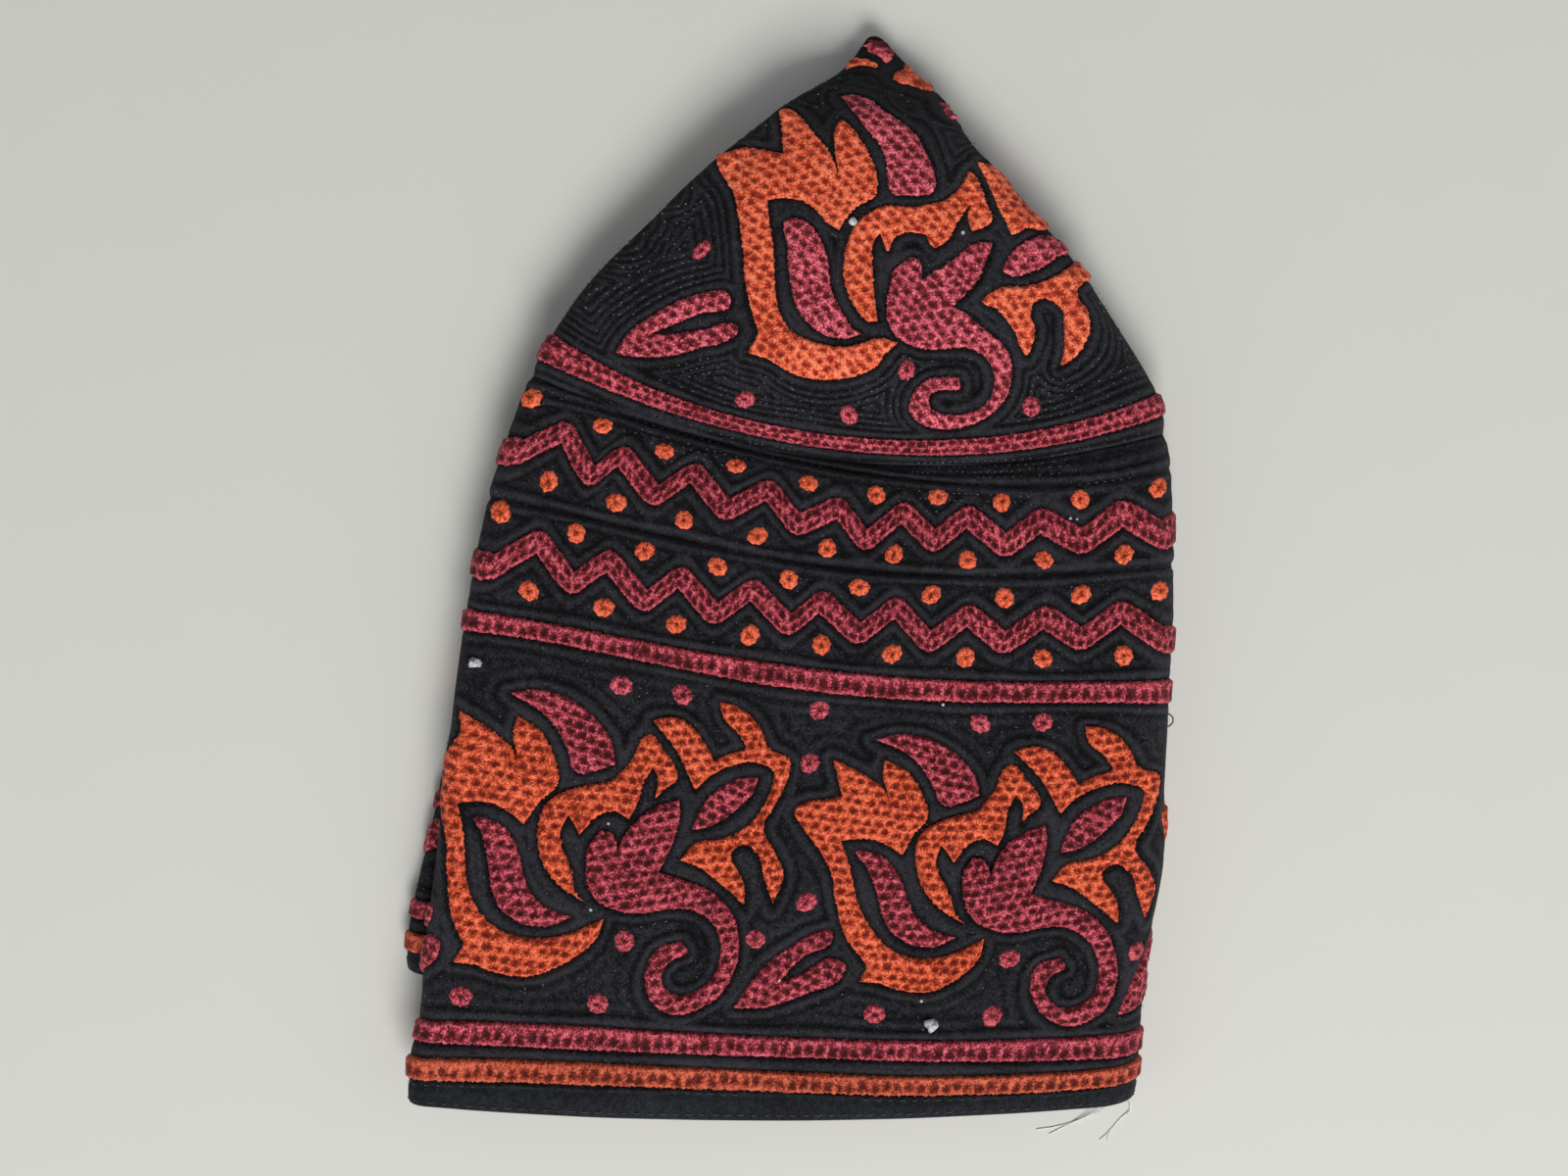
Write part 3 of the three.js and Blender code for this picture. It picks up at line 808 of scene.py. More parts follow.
def raised_thread(name, tint, bright, dot_radius=None):
    """Embroidery thread: loops with a painted highlight, needle holes with painted shade, and
    fibres that run out from each hole. A dot has one hole, at the middle of its own two marks."""
    finish = Finish(name, 0.65, 0.08, tuple(min(1, 0.3 + v) for v in tint), 0.2)
    run, place = finish.math, finish.place()
    if dot_radius is None:
        along, across, depth = finish.marks("thread")
        holes = needle_holes(run, along, across)
    else:
        dx, dy, number = finish.marks("thread")
        reach = run("SQRT", run("ADD", run("MULTIPLY", dx, dx), run("MULTIPLY", dy, dy)))
        depth = run("SUBTRACT", dot_radius, reach)
        far = run("DIVIDE", reach, 0.62)
        # A dot's middle is dark: painted shade in its needle hole.
        loop = run("MULTIPLY_ADD", run("EXPONENT", run("MULTIPLY", far, -2.0)), -0.95, 1.0)
        holes = {"loop": loop, "far": far, "dx": dx, "dy": dy, "number": number}
    sunk = run("MULTIPLY", run("SUBTRACT", 1.0, holes["loop"]), finish.spread(depth, 0.0, 0.6))
    loop = run("SUBTRACT", 1.0, sunk)
    way = finish.node("CombineXYZ", {0: holes["dx"], 1: holes["dy"], 2: 0.0}).outputs[0]
    way = finish.node("VectorMath", {0: way}, operation="NORMALIZE").outputs[0]
    layer = run("MULTIPLY_ADD", holes["number"], 40.0, run("MULTIPLY", holes["far"], 0.45))
    layer = finish.node("CombineXYZ", {0: 0.0, 1: 0.0, 2: layer}).outputs[0]
    way = finish.node("VectorMath", {0: way, 1: (4.2, 4.2, 0), 2: layer},
                      operation="MULTIPLY_ADD").outputs[0]
    fan = finish.noise(way, 1.0, 1.0)
    fibre = finish.noise(place, 2600.0, 2.0, 0.7)
    # Dark in the needle holes and lighter on the loops round them: painted shade and a painted
    # highlight, moved by noises for the fibres.
    shade = run("MULTIPLY_ADD", loop, 0.98, -0.42)
    shade = run("MULTIPLY_ADD", finish.spread(holes["far"], 0.5, 1.4), 0.18, shade)
    shade = finish.uneven(shade, (fan, 1.5), (fibre, 2.6),
                          (finish.noise(place, 1250.0, 1.0), 1.5),
                          (finish.noise(place, 110.0, 2.0), 0.5))
    # deep is the painted shade colour of the needle holes; bright is the highlight colour, painted
    # on the loops and also the colour of the lighter fibres.
    dark = 0.1 + 0.32 * tint[0]
    deep = (tint[0] * dark, tint[1] * dark * 0.55, tint[2] * dark * 0.7)
    body = finish.blend(finish.spread(shade, 0.0, 0.55), deep, tint)
    finish.base(finish.blend(finish.spread(shade, 0.5, 1.15), body, bright))
    height = run("MULTIPLY_ADD", fan, 0.7, run("MULTIPLY", loop, 0.7))
    finish.bump(run("MULTIPLY_ADD", fibre, 0.5, height), 0.00034)
    return finish.material


def loose_thread(name, tint, uneven=0.6):
    """Bare thread and lint: dull and uneven, down to a share of its colour."""
    finish = Finish(name, 0.9, 0.3)
    fibre = finish.noise(finish.place(), 1300.0, 2.0)
    finish.base(finish.blend(finish.spread(fibre, 0.35, 0.65), tuple(v * uneven for v in tint),
                             tint))
    finish.bump(fibre, 0.0001)
    return finish.material


def table_top(tint):
    """The plain pale floor."""
    finish = Finish("table_top", 0.6, 0.0)
    grain = finish.noise(finish.place(), 60.0, 4.0)
    finish.base(finish.blend(grain, tuple(v * 0.985 for v in tint), tint))
    return finish.material


# Settings

def length_setting(name, size, text):
    return FloatProperty(name=name, default=size * MM, unit="LENGTH", description=text)


def tint_setting(name, red, green, blue, text):
    return FloatVectorProperty(name=name, subtype="COLOR", default=colour(red, green, blue),
                               description="Colour of " + text)


class CapSizes(PropertyGroup):
    thickness: length_setting("Embroidery height", 0.85,
                              "How far the embroidery stands on the cloth")
    line_width: length_setting("Zigzag width", 3.55, "Width of the zigzag lines, across the line")
    dot_radius: length_setting("Dot radius", 2.15, "Radius of the round dots")


class CapColours(PropertyGroup):
    cloth: tint_setting("Cloth", 23, 23, 26, "the quilted cotton")
    hem: tint_setting("Hem", 22, 25, 30, "the hem tape")
    orange: tint_setting("Orange thread", 202, 77, 43, "the orange embroidery")
    # The two highlight colours are painted highlights on the embroidery's loops, and also the
    # colour of its lighter fibres.
    orange_light: tint_setting("Orange highlight", 252, 124, 90,
                               "the orange embroidery's bright fibres")
    rose_light: tint_setting("Rose highlight", 226, 104, 118,
                             "the rose embroidery's bright fibres")
    rose: tint_setting("Rose thread", 140, 42, 54, "the rose red embroidery")
    # The quilting thread's grey paints the stitches' glint; the thread itself is dark.
    stitch: tint_setting("Quilting thread", 116, 119, 126, "the quilting stitches")
    hem_stitch: tint_setting("Hem thread", 56, 60, 66, "the stitches along the hem")
    # Pale is also the colour of the crease stitches, where it is a painted glint.
    pale: tint_setting("Pale thread", 205, 208, 214, "lint and loose thread")
    loose: tint_setting("Thread ends", 228, 228, 226, "the loose thread ends beside the hem")
    table: tint_setting("Table", 208, 208, 203, "the floor")


def thread_finish(context, kind, name=None, gain=1.0, veil=0.0, dot_radius=None):
    """An embroidery thread's material, made once for each name. A copy with painted light has a
    gain above 1 and one with painted shade a gain below 1; its colours are those of its kind,
    times the gain and plus a veil of grey."""
    name = name or kind + "_thread"
    tint, light = (tuple(min(1, gain * v + veil) for v in
                         getattr(context.scene.cap_colours, kind + part))
                   for part in ("", "_light"))
    return bpy.data.materials.get(name) or raised_thread(name, tint, light, dot_radius)


def repeated(around, height, turns=(2, 3, 4, 5)):
    """Places of the front quarter, again at each of the given turns."""
    return np.concatenate([around + n for n in turns]), np.tile(height, len(turns))


class Zigzag:
    """A zigzag round the cap. Its middle line turns under the charted tips and above the
    charted feet, and its outer corners are rounded."""
    corner = 1.8
    lost = 0.9

    def __init__(self, tips, feet, width):
        self.rise = 0.75 * width
        tip_at, tip = on_cloth(read(tips)[0])
        foot_at, foot = on_cloth(read(feet)[0])
        drop = self.rise - self.lost
        around = np.concatenate([tip_at, foot_at])
        height = np.concatenate([tip - drop, foot + drop])
        order = np.argsort(around)
        self.at, self.line = repeated(around[order], height[order], (1, 2, 3, 4, 5, 6))

    def edges(self, around):
        """Its lower and upper edge: the middle line moved down and up, but the average of
        the line over a corner's length where that lies further in."""
        middle = np.interp(around, self.at, self.line)
        shifts = np.linspace(-self.corner, self.corner, 7) / QUARTER
        soft = sum(np.interp(around + d, self.at, self.line) for d in shifts) / len(shifts)
        return np.maximum(middle, soft) - self.rise, np.minimum(middle, soft) + self.rise


class BandChart:
    """The side band laid flat: mm round the cap and mm of height. Its flowers come twice in
    each quarter. Every other one is off its regular place by a little, as charted. steps
    holds the fineness of each flower."""
    steps = (FINE, FINE, ROUGH, ROUGH, ROUGH, MIDDLING, MIDDLING, MIDDLING)
    near = (-1, 0, 1, 2)
    extent = ((0, 0), (QUARTER, SEAM_HEIGHT + 2))

    @staticmethod
    def nudge(x, y, name):
        """How far a place of every other flower is moved. The split leaf is drawn in along
        its length. The rest follows second-degree curves of the place from the flower's
        middle, in centimetres, that fade out towards its end, and one notch lies further on."""
        if name == "split leaf":
            along = (x - 61.6) / 19.7
            return 4.3 - 6.0 * along, -0.5 - 1.5 * along
        share = 1 - smooth((x - 58) / 12)
        notch = 3 * np.exp(-(((x - 65.5) / 4) ** 2) - ((y - 64) / 2.5) ** 2)
        u, v = np.clip((x - 40) / 10, -5, 4), np.clip((y - 50) / 10, -4, 4)
        return ((-1 + 0.57 * u - 1.06 * v + 0.24 * u * u - 0.2 * u * v + 0.2 * v * v) * share
                + notch,
                (1 - 0.43 * u - 0.08 * v + 0.1 * u * v - 0.1 * v * v) * share)

    @staticmethod
    def flat(around, height):
        return stack(around * QUARTER, height)

    @classmethod
    def on_cloth(cls, points, turn, name=None):
        x, y = points[..., 0], points[..., 1]
        if turn % 2:
            dx, dy = cls.nudge(x, y, name)
            x, y = x + dx, y + dy
        return x / QUARTER + turn * FLOWER_PERIOD, y


class CrownChart:
    """The crown laid flat: a disc about its centre, with one flower in each quarter."""
    steps = (FINE, ROUGH, MIDDLING, MIDDLING)
    near = (-1, 0, 1)
    extent = ((0, 0), (94, 94))

    @staticmethod
    def flat(around, height):
        radius, angle = CENTRE_HEIGHT - height, around * math.pi / 2
        return stack(radius * np.cos(angle), radius * np.sin(angle))

    @staticmethod
    def on_cloth(points, turn, name=None):
        around = np.arctan2(points[..., 1], points[..., 0]) / (math.pi / 2) + turn
        return around, CENTRE_HEIGHT - np.hypot(points[..., 0], points[..., 1])


class RoundChart:
    """A ring of the cap laid flat: mm round the cap and mm of height."""

    @staticmethod
    def on_cloth(points, turn):
        return points[..., 0] / QUARTER + turn, points[..., 1]


def charted_flower(flower, chart, step):
    """The outlines of a flower on its flat chart, in mm, by name. Each runs anticlockwise,
    which the sum of its corners' cross products tells."""
    shapes = {}
    for name, (thread, grain, text) in flower.items():
        points, sharp = read(text)
        loop = outline(chart.flat(*on_cloth(points)), sharp, step)
        beyond = np.roll(loop, -1, 0)
        if (loop[:, 0] * beyond[:, 1] - loop[:, 1] * beyond[:, 0]).sum() < 0:
            loop = loop[::-1]
        shapes[name] = thread, math.radians(grain), loop
    return shapes


class Echo:
    """Distance from a place on the cloth to the nearest embroidered edge, in mm, and none
    under the embroidery. It is worked out once on a grid over a quarter of the cap laid flat,
    from every copy of each shape where it lies, and read between the grid's points."""
    step = 0.75
    reach = 20.0
    made = {}

    @classmethod
    def of(cls, flower, chart):
        """The one for a chart, worked out at its first use."""
        if chart not in cls.made:
            cls.made[chart] = cls(flower, chart)
        return cls.made[chart]

    def __init__(self, flower, chart):
        self.chart = chart
        self.low = np.array(chart.extent[0]) - self.step
        x, y = (np.arange(low, high + 2 * self.step, self.step)
                for low, high in zip(self.low, chart.extent[1]))
        grid = stack(x[:, None], y).reshape(-1, 2)
        gap = np.full(len(grid), self.reach)
        for name, (_, _, loop) in charted_flower(flower, chart, 1.0).items():
            for turn in chart.near:
                edge = chart.flat(*chart.on_cloth(loop, turn, name))
                some = ((grid > edge.min(0) - self.reach) & (grid < edge.max(0) + self.reach))
                some = np.nonzero(some.all(1))[0]
                if len(some):
                    here = to_edge(grid[some], edge)
                    here[inside(grid[some], edge)] = 0
                    gap[some] = np.minimum(gap[some], here)
        self.gap = gap.reshape(len(x), len(y))

    def __call__(self, around, height):
        place = (self.chart.flat(np.mod(around, 1), height) - self.low) / self.step
        place = np.clip(place, 0, np.array(self.gap.shape) - 1.001)
        i, j = np.moveaxis(np.floor(place).astype(int), -1, 0)
        u, v = np.moveaxis(place - np.floor(place), -1, 0)
        g = self.gap
        return (g[i, j] * (1 - u) * (1 - v) + g[i + 1, j] * u * (1 - v)
                + g[i, j + 1] * (1 - u) * v + g[i + 1, j + 1] * u * v)


def rolls(echo, first, rest):
    """How many quilted rolls lie between a place and the nearest stitched edge, by the
    distance to it and the widths of the first roll and of the others."""
    return np.where(echo < first, echo / first, 1 + (echo - first) / rest)


def puffed(count, height, fading):
    """The quilted cloth's own relief: rolls, each the 0.7th power of a sine and lower than
    the one before it, and a dip right beside the stitched edge."""
    shape = abs(np.sin(np.pi * count)) ** 0.7
    return height * fading ** np.floor(count) * shape - 0.22 * np.exp(-count / 0.3)


def roll_share(around):
    """How far the quilted rolls stand out: less where layers press, and on the folds."""
    return pressed(around, 1) * (0.15 + 0.85 * smooth(to_fold(around) / 0.07))


def wandering(echo, around, height):
    """The distance to an edge made uneven by hand: a slow sine wave, none at the edge."""
    x = around * QUARTER
    return echo + 0.4 * np.minimum(1, echo / 3) * np.sin(x / 5.7 + 1.6 * np.sin(height / 8.3))


def shell(name, around, rows, inner_rows, proud, echo, material, shut=None):
    """Cloth with two skins: the outer one a grid of places round the cap by rows of height,
    the inner one with fewer rows. Its ends are closed, or zipped across from the pressed
    fold, where shut is the column of that fold."""
    columns = len(around)
    outer = cloth(around[None], rows[:, None], proud)
    level = levels(inner_rows[:, None])
    inner = cloth(around[None], inner_rows[:, None], -level["wall"], level)
    marks = [stack(around * QUARTER, at[:, None], mark).reshape(-1, 3)
             for at, mark in ((rows, echo), (inner_rows, 0.5))]
    first = len(rows) * columns
    top, inner_top = first - columns, first + (len(inner_rows) - 1) * columns
    faces = [tube_faces(len(rows), columns),
             tube_faces(len(inner_rows), columns, first)[:, ::-1], joined(first, 0, columns)]
    if shut is None:
        faces.append(joined(top, inner_top, columns))
    else:
        i = np.arange(columns // 2)
        for base, flip in ((top, False), (inner_top, True)):
            a, b = (shut + i) % columns, (shut + i + 1) % columns
            c, d = (shut - i - 1) % columns, (shut - i) % columns
            cap = base + stack(a, d, c, b)
            if flip:
                cap = cap[:, ::-1]
            ends = np.array([[x for n, x in enumerate(q) if x not in q[:n]]
                             for q in cap[[0, -1]].tolist()])
            faces += [cap[1:-1], ends]
    patches = Patches()
    patches.add(np.concatenate([outer, inner]), faces, np.concatenate(marks))
    return patches.piece(name, material, "quilted_cotton", "cloth")


def line_gaps(around, height, sizes):
    """Distance to the nearest edge of a stripe or zigzag, or stitched line, in mm."""
    gaps = []
    for _, low, high, _ in STRIPES:
        bottom, top = charted_edge(low)(around), charted_edge(high)(around)
        gaps.append(np.maximum(bottom - height, height - top))
    width = sizes.line_width / MM
    for tips, feet in ZIGZAGS:
        low, high = Zigzag(tips, feet, width).edges(around)
        gaps.append(0.75 * np.maximum(low - height, height - high))
    gaps.append(abs(height - CREASE(around)))
    gaps.append(abs(height - TOP_STITCHES(around)))
    return np.maximum(0, np.minimum.reduce(np.broadcast_arrays(*gaps)))


def quilting(chart, around, height, sizes):
    """How many quilted rolls lie between a place on the cloth and the nearest edge."""
    if chart is CrownChart:
        echo, first, rest = Echo.of(CROWN_FLOWER, CrownChart), CROWN_EDGE_ROLL, CROWN_ROLL
    else:
        echo, first, rest = Echo.of(BAND_FLOWER, BandChart), BAND_ROLL, BAND_ROLL
    gap = np.minimum(echo(around, height), line_gaps(around, height, sizes))
    return rolls(wandering(gap, around, height), first, rest)


class CAP_OT_cloth(Operator):
    """Makes the crown and the side band of quilted black cotton"""
    bl_idname = "cap.cloth"
    bl_label = "Cloth"

    def execute(self, context):
        sizes, colours = context.scene.cap_sizes, context.scene.cap_colours
        tint = tuple(colours.cloth)
        around = round_the_cap(0.56, 1.3, 2.9)
        rows = np.linspace(HEM_HEIGHT + JOINT, SEAM_HEIGHT - JOINT, 176)
        grid = around[None], rows[:, None]
        count = quilting(BandChart, *grid, sizes)
        proud = swell(*grid) + puffed(count, 0.62, 0.5) * roll_share(around)
        band = shell("side_band_cloth", around, rows, np.linspace(rows[0], rows[-1], 14),
                     proud, count, quilted_cotton("quilted_cotton", tint, 0.5))
        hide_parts("side_band")

        back, fine = round(QUARTER / 2.1), round(QUARTER / 0.6)
        around = np.concatenate([quarter + np.arange(count) / count for quarter, count
                                 in ((2, back), (3, back), (4, fine), (5, fine))])
        rows = np.linspace(SEAM_HEIGHT + JOINT, CENTRE_HEIGHT, 130)
        grid = around[None], rows[:, None]
        opened = smooth((CENTRE_HEIGHT - rows[:, None]) / 16)
        count = quilting(CrownChart, *grid, sizes)
        relief = puffed(count, 0.5, np.where(count < 1, 1.0, 0.3)) * roll_share(around)
        proud = (swell(*grid) + relief) * opened
        crown = shell("crown_cloth", around, rows, np.linspace(rows[0], CENTRE_HEIGHT - 2, 12),
                      proud, count, quilted_cotton("ribbed_cotton", tint, 0.92), shut=back)
        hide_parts("crown")
        return {"FINISHED"}


class CAP_OT_hem(Operator):
    """Makes the plain black hem that binds the rim"""
    bl_idname = "cap.hem"
    bl_label = "Hem"

    def execute(self, context):
        around = round_the_cap(0.8, 1.6, 2.8)
        top = np.clip(charted_edge(STRIPES[0][1])(around), 4.3, 5.6) - 0.1
        turn = np.linspace(0, TAU, 28, endpoint=False)[:, None]
        power = 0.55
        across = np.sign(np.cos(turn)) * abs(np.cos(turn)) ** power
        out = np.sign(np.sin(turn)) * abs(np.sin(turn)) ** power
        height = (1 - across) / 2 * top[None]
        level = levels(height)
        wall = level["wall"]
        stitched = 0.22 * np.exp(-(((height - top + 0.9) / 0.28) ** 2))
        skin = 0.12 + swell(around[None], height) - stitched
        proud = np.where(out >= 0, out * (wall / 2 + skin), out * (wall / 2 + HEM_TURN_IN))
        points = cloth(around[None], height, proud - wall / 2, level)
        patches = Patches()
        patches.add_ring(points, stack(around * QUARTER, height, 0.0))
        hem = patches.piece("rim_binding_tape", hem_cotton(tuple(context.scene.cap_colours.hem)),
                            "hem_cotton", "cloth")
        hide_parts("rim_binding")
        return {"FINISHED"}


def ribbon(patches, around, low, high, thick, rows, slope=1.0):
    """A raised line of loop stitching round the cap between two heights: points across it on
    top, with its needle holes in one or two rows, and two points sunk in the cloth under it,
    closed both ways. Its edges have teeth, by chance."""
    share = np.concatenate([np.linspace(0, 1, 13), [1, 0]])[:, None]
    under = np.concatenate([np.zeros(13), [1, 1]])[:, None]
    width = (high - low)[None] * slope
    depth = np.minimum(share, 1 - share) * width
    along = around[None] * QUARTER / slope + 0 * share
    across = (share - 0.5) * 2 * THREAD_ROW if rows == 2 else share / 0.84 * THREAD_ROW
    across = across + 0 * along
    loop = needle_holes(on_arrays, along, across)["loop"]
    tooth = 0.24 * (2 * scatter(np.arange(len(around))[None], np.round(share), 8) - 1)
    tooth = tooth * (share % 1 == 0) * (1 - under)
    height = low[None] + share * (high - low)[None] + tooth
    relief = np.where(under == 1, SUNK, pile(depth, loop, thick) * pressed(around, 1)[None])
    points = cloth(around[None], height, relief + swell(around[None], height))
    patches.add_ring(points, stack(along, across, depth))


class CAP_OT_lines(Operator):
    """Embroiders the stripes and the two zigzags that run round the cap"""
    bl_idname = "cap.lines"
    bl_label = "Stripes and zigzags"

    def execute(self, context):
        sizes = context.scene.cap_sizes
        thick, width = sizes.thickness / MM, sizes.line_width / MM
        around = round_the_cap(0.36, 0.9, 1.8)
        stripes = {"orange": Patches(), "rose": Patches()}
        for name, low, high, rows in STRIPES:
            bottom, top = charted_edge(low)(around), charted_edge(high)(around)
            if name == "orange":
                bottom = np.maximum(bottom, HEM_HEIGHT - 0.6)
            ribbon(stripes[name], around, bottom, top, thick, rows)
        # A darker, greyer copy of the orange thread: painted shade on the stripe by the rim, where
        # it rounds down.
        shaded_orange = thread_finish(context, "orange", "worn_orange_thread", 0.72, 0.012)
        stripes["orange"].piece("orange_stripe", shaded_orange, "orange_thread")
        rose = thread_finish(context, "rose")
        stripes["rose"].piece("rose_stripes", rose, "rose_thread")
        zigzags = Patches()
        for tips, feet in ZIGZAGS:
            zigzag = Zigzag(tips, feet, width)
            at = zigzag.at
            turns = np.sort(np.concatenate([at[(at > 2) & (at < 6)], [2.0]]))
            steps = np.where((turns > 3.9) & (turns < 5.02), 24, 8)
            ends = np.append(turns[1:], 6.0)
            around = np.concatenate([a + (b - a) * np.arange(n) / n
                                     for a, b, n in zip(turns, ends, steps)])
            ribbon(zigzags, around, *zigzag.edges(around), thick, 2, 0.75)
        zigzags.piece("rose_zigzags", rose, "rose_thread")
        return {"FINISHED"}


def patch_faces(faces, loop_count, count):
    """Faces of a closed patch: the top, the same underneath, and a wall round the outline,
    which the first points are. The cloth's chart runs from right to left, so the top is
    turned over."""
    return [faces[:, ::-1], faces + count, joined(0, count, loop_count)[:, ::-1]]


def embroider(context, place, flower, chart, finish):
    """Embroiders every copy of a flower. Each shape is filled once for each fineness and
    carried to the cloth for each copy. Its needle holes stand in rows along its grain, and
    fade out towards the edge. finish gives the material of a kind of thread."""
    thick = context.scene.cap_sizes.thickness / MM
    patches = {"orange": Patches(), "rose": Patches()}
    for name, (thread, grain, loop) in charted_flower(flower, chart, OUTLINE_STEP).items():
        fills = {}
        for turn, step in enumerate(chart.steps):
            if step not in fills:
                edge = frayed(loop) if step == FINE else loop[::max(1, round(step / 0.3))]
                flat, faces, depth = filled(edge, step)
                u = flat[:, 0] * math.cos(grain) + flat[:, 1] * math.sin(grain)
                v = flat[:, 1] * math.cos(grain) - flat[:, 0] * math.sin(grain)
                hole = needle_holes(on_arrays, u, v)["loop"]
                hole = 1 - (1 - hole) * smooth(depth / 0.75)
                rim = patch_faces(faces, len(edge), len(flat))
                fills[step] = flat, rim, depth, hole, np.tile(stack(u, v, depth), (2, 1))
            flat, rim, depth, hole, marks = fills[step]
            around, height = chart.on_cloth(flat, turn, name)
            relief = pile(depth, hole, thick) * pressed(around, 1)
            base = swell(around, height)
            level = levels(height)
            top = cloth(around, height, base + relief, level)
            under = cloth(around, height, base + SUNK, level)
            patches[thread].add(np.concatenate([top, under]), rim, marks)
    for kind in patches:
        patches[kind].piece(f"{place}_flowers_{kind}", finish(kind), kind + "_thread")


class CAP_OT_band_flowers(Operator):
    """Embroiders the eight scroll flowers of the side band"""
    bl_idname = "cap.band_flowers"
    bl_label = "Band flowers"

    def execute(self, context):
        embroider(context, "band", BAND_FLOWER, BandChart,
                  lambda kind: thread_finish(context, kind))
        return {"FINISHED"}


class CAP_OT_crown_flowers(Operator):
    """Embroiders the four scroll flowers of the crown, in thread made lighter and greyer by painted
    light
    """
    bl_idname = "cap.crown_flowers"
    bl_label = "Crown flowers"

    def execute(self, context):
        # Lighter and greyer copies of the threads: painted light and painted sheen where the crown
        # catches more light.
        painted_light_gains = {"orange": 1.35, "rose": 1.5}
        embroider(context, "crown", CROWN_FLOWER, CrownChart,
                  lambda kind: thread_finish(context, kind, f"crown_{kind}_thread",
                                             painted_light_gains[kind], 0.015))
        return {"FINISHED"}


def dots(patches, around, height, radius, thick):
    """Round dots: rings of points about each middle, raised as a low dome with a needle hole
    at its top, and a ring sunk in the cloth. Every second spoke is a tuft that stands out.
    Each dot has its own turn and roundness."""
    spokes, rings = 16, np.array([0.0, 0.3, 0.65, 1.0, 1.0])
    turn = np.arange(spokes) / spokes * TAU
    ring, angle = np.meshgrid(rings[1:], turn, indexing="ij")
    tuft = np.append(0.0, (ring * np.cos(angle * spokes / 2)).ravel())
    share = np.append(0.0, ring.ravel())
    angle = np.append(0.0, angle.ravel())
    number = np.arange(len(around))[:, None]
    spin = TAU * scatter(number, height[:, None], 1)
    reach = radius * share * (1 + 0.07 * tuft + 0.08 * np.sin(2 * angle + 3 * spin))
    x, y = reach * np.cos(angle + spin), reach * np.sin(angle + spin)
    hole = 1 - 0.85 * np.exp(-((share / 0.28) ** 2))
    rise = thick * np.sqrt(np.clip(1 - share**4, 0, 1)) * (0.55 + 0.45 * hole)
    rise[-spokes:] = SUNK
    places = around[:, None] - x / QUARTER, height[:, None] + y
    base = swell(*places)
    points = cloth(*places, base + np.where(rise > 0, rise * pressed(places[0], 1), rise))
    last = 1 + (len(rings) - 2) * spokes
    faces = (tube_faces(len(rings) - 1, spokes, 1), fan_faces(0, 1, spokes),
             last + np.arange(spokes)[None, ::-1])
    marks = stack(radius * share * np.cos(angle), radius * share * np.sin(angle), spin / TAU)
    patches.add_copies(points, faces, marks.reshape(-1, 3))


class CAP_OT_dots(Operator):
    """Embroiders the round dots between the zigzags and round the flowers"""
    bl_idname = "cap.dots"
    bl_label = "Dots"

    def execute(self, context):
        sizes = context.scene.cap_sizes
        radius, thick = sizes.dot_radius / MM, sizes.thickness / MM * 0.9
        for name, text in (("orange", ORANGE_DOTS), ("rose", ROSE_DOTS)):
            around, height = repeated(*on_cloth(read(text)[0]))
            patches = Patches()
            dots(patches, around, height, radius, thick)
            finish = thread_finish(context, name, name + "_dot_thread", dot_radius=radius)
            patches.piece(name + "_dots", finish, name + "_thread")
        return {"FINISHED"}


def dashes(patches, chart, turn, places, tangents, length, width, stand=0.0):
    """Short stitches: each a long octahedron that lies on the cloth along its tangent."""
    along = np.array([1, -1, 0, 0, 0, 0]) * length / 2
    across = np.array([0, 0, 1, -1, 0, 0]) * width / 2
    lift = np.array([0, 0, 0, 0, 1, -1]) * width / 2
    flat = (places[:, None] + along[None, :, None] * tangents[:, None]
            + across[None, :, None] * turned_right(tangents)[:, None])
    around, height = chart.on_cloth(flat, turn)
    points = cloth(around, height, swell(around, height) + lift + stand)
    faces = np.array([[0, 2, 4], [2, 1, 4], [1, 3, 4], [3, 0, 4],
                      [2, 0, 5], [1, 2, 5], [3, 1, 5], [0, 3, 5]])
    patches.add_copies(points, [faces])


def groove_stitches(chart, low, high, sizes, last, apart):
    """Stitch places in the grooves between the quilted rolls of one flower's chart, and the
    way each one points. Points of a grid are moved down the slope of the roll count to the
    nearest whole number, and each is kept that has no earlier one near it."""
    step = 0.55
    x, y = np.meshgrid(np.arange(low[0], high[0], step), np.arange(low[1], high[1], step))
    places = stack(x, y).reshape(-1, 2)

    def count_at(points):
        around, height = chart.on_cloth(points, 0)
        return quilting(chart, around[None], height[None], sizes)[0]

    small = 0.1
    for _ in range(2):
        count = count_at(places)
        slope = stack(*(count_at(places + shift) - count_at(places - shift)
                        for shift in np.eye(2) * small)) / (2 * small)
        steep = np.maximum((slope**2).sum(-1), 0.01)
        goal = np.round(count)
        near = (goal >= 1) & (goal <= last) & (abs(goal - count) < 0.35) & (steep > 0.04)
        places = places[near] + (slope * ((goal - count) / steep)[:, None])[near]
        slope = slope[near]
    _, first = np.unique(np.round(places / (0.7 * apart)), axis=0, return_index=True)
    places, slope = places[first], slope[first]
    apart_from = np.linalg.norm(places[:, None] - places[None], axis=-1)
    earlier = np.tri(len(places), k=-1, dtype=bool)
    kept = ~((apart_from < apart) & earlier).any(1) & (scatter(first, 0.0, 9) < 0.85)
    return places[kept], unit(turned_right(slope)[kept])


def stitched_ring(edge, drop, step, share, seed):
    """Stitch places along a ring round the front and a little past its folds: a step apart
    and a drop below the ring's line, with a share of them left out by chance."""
    x = np.arange(-0.1 * QUARTER, 1.03 * QUARTER, step)
    kept = scatter(np.floor(x / (5 * step)), 0 * x, seed) < share
    x = x[kept]
    near = 0.002
    rise = edge(x / QUARTER + near) - edge(x / QUARTER - near)
    return stack(x, edge(x / QUARTER) - drop), unit(stack(2 * near * QUARTER, rise))


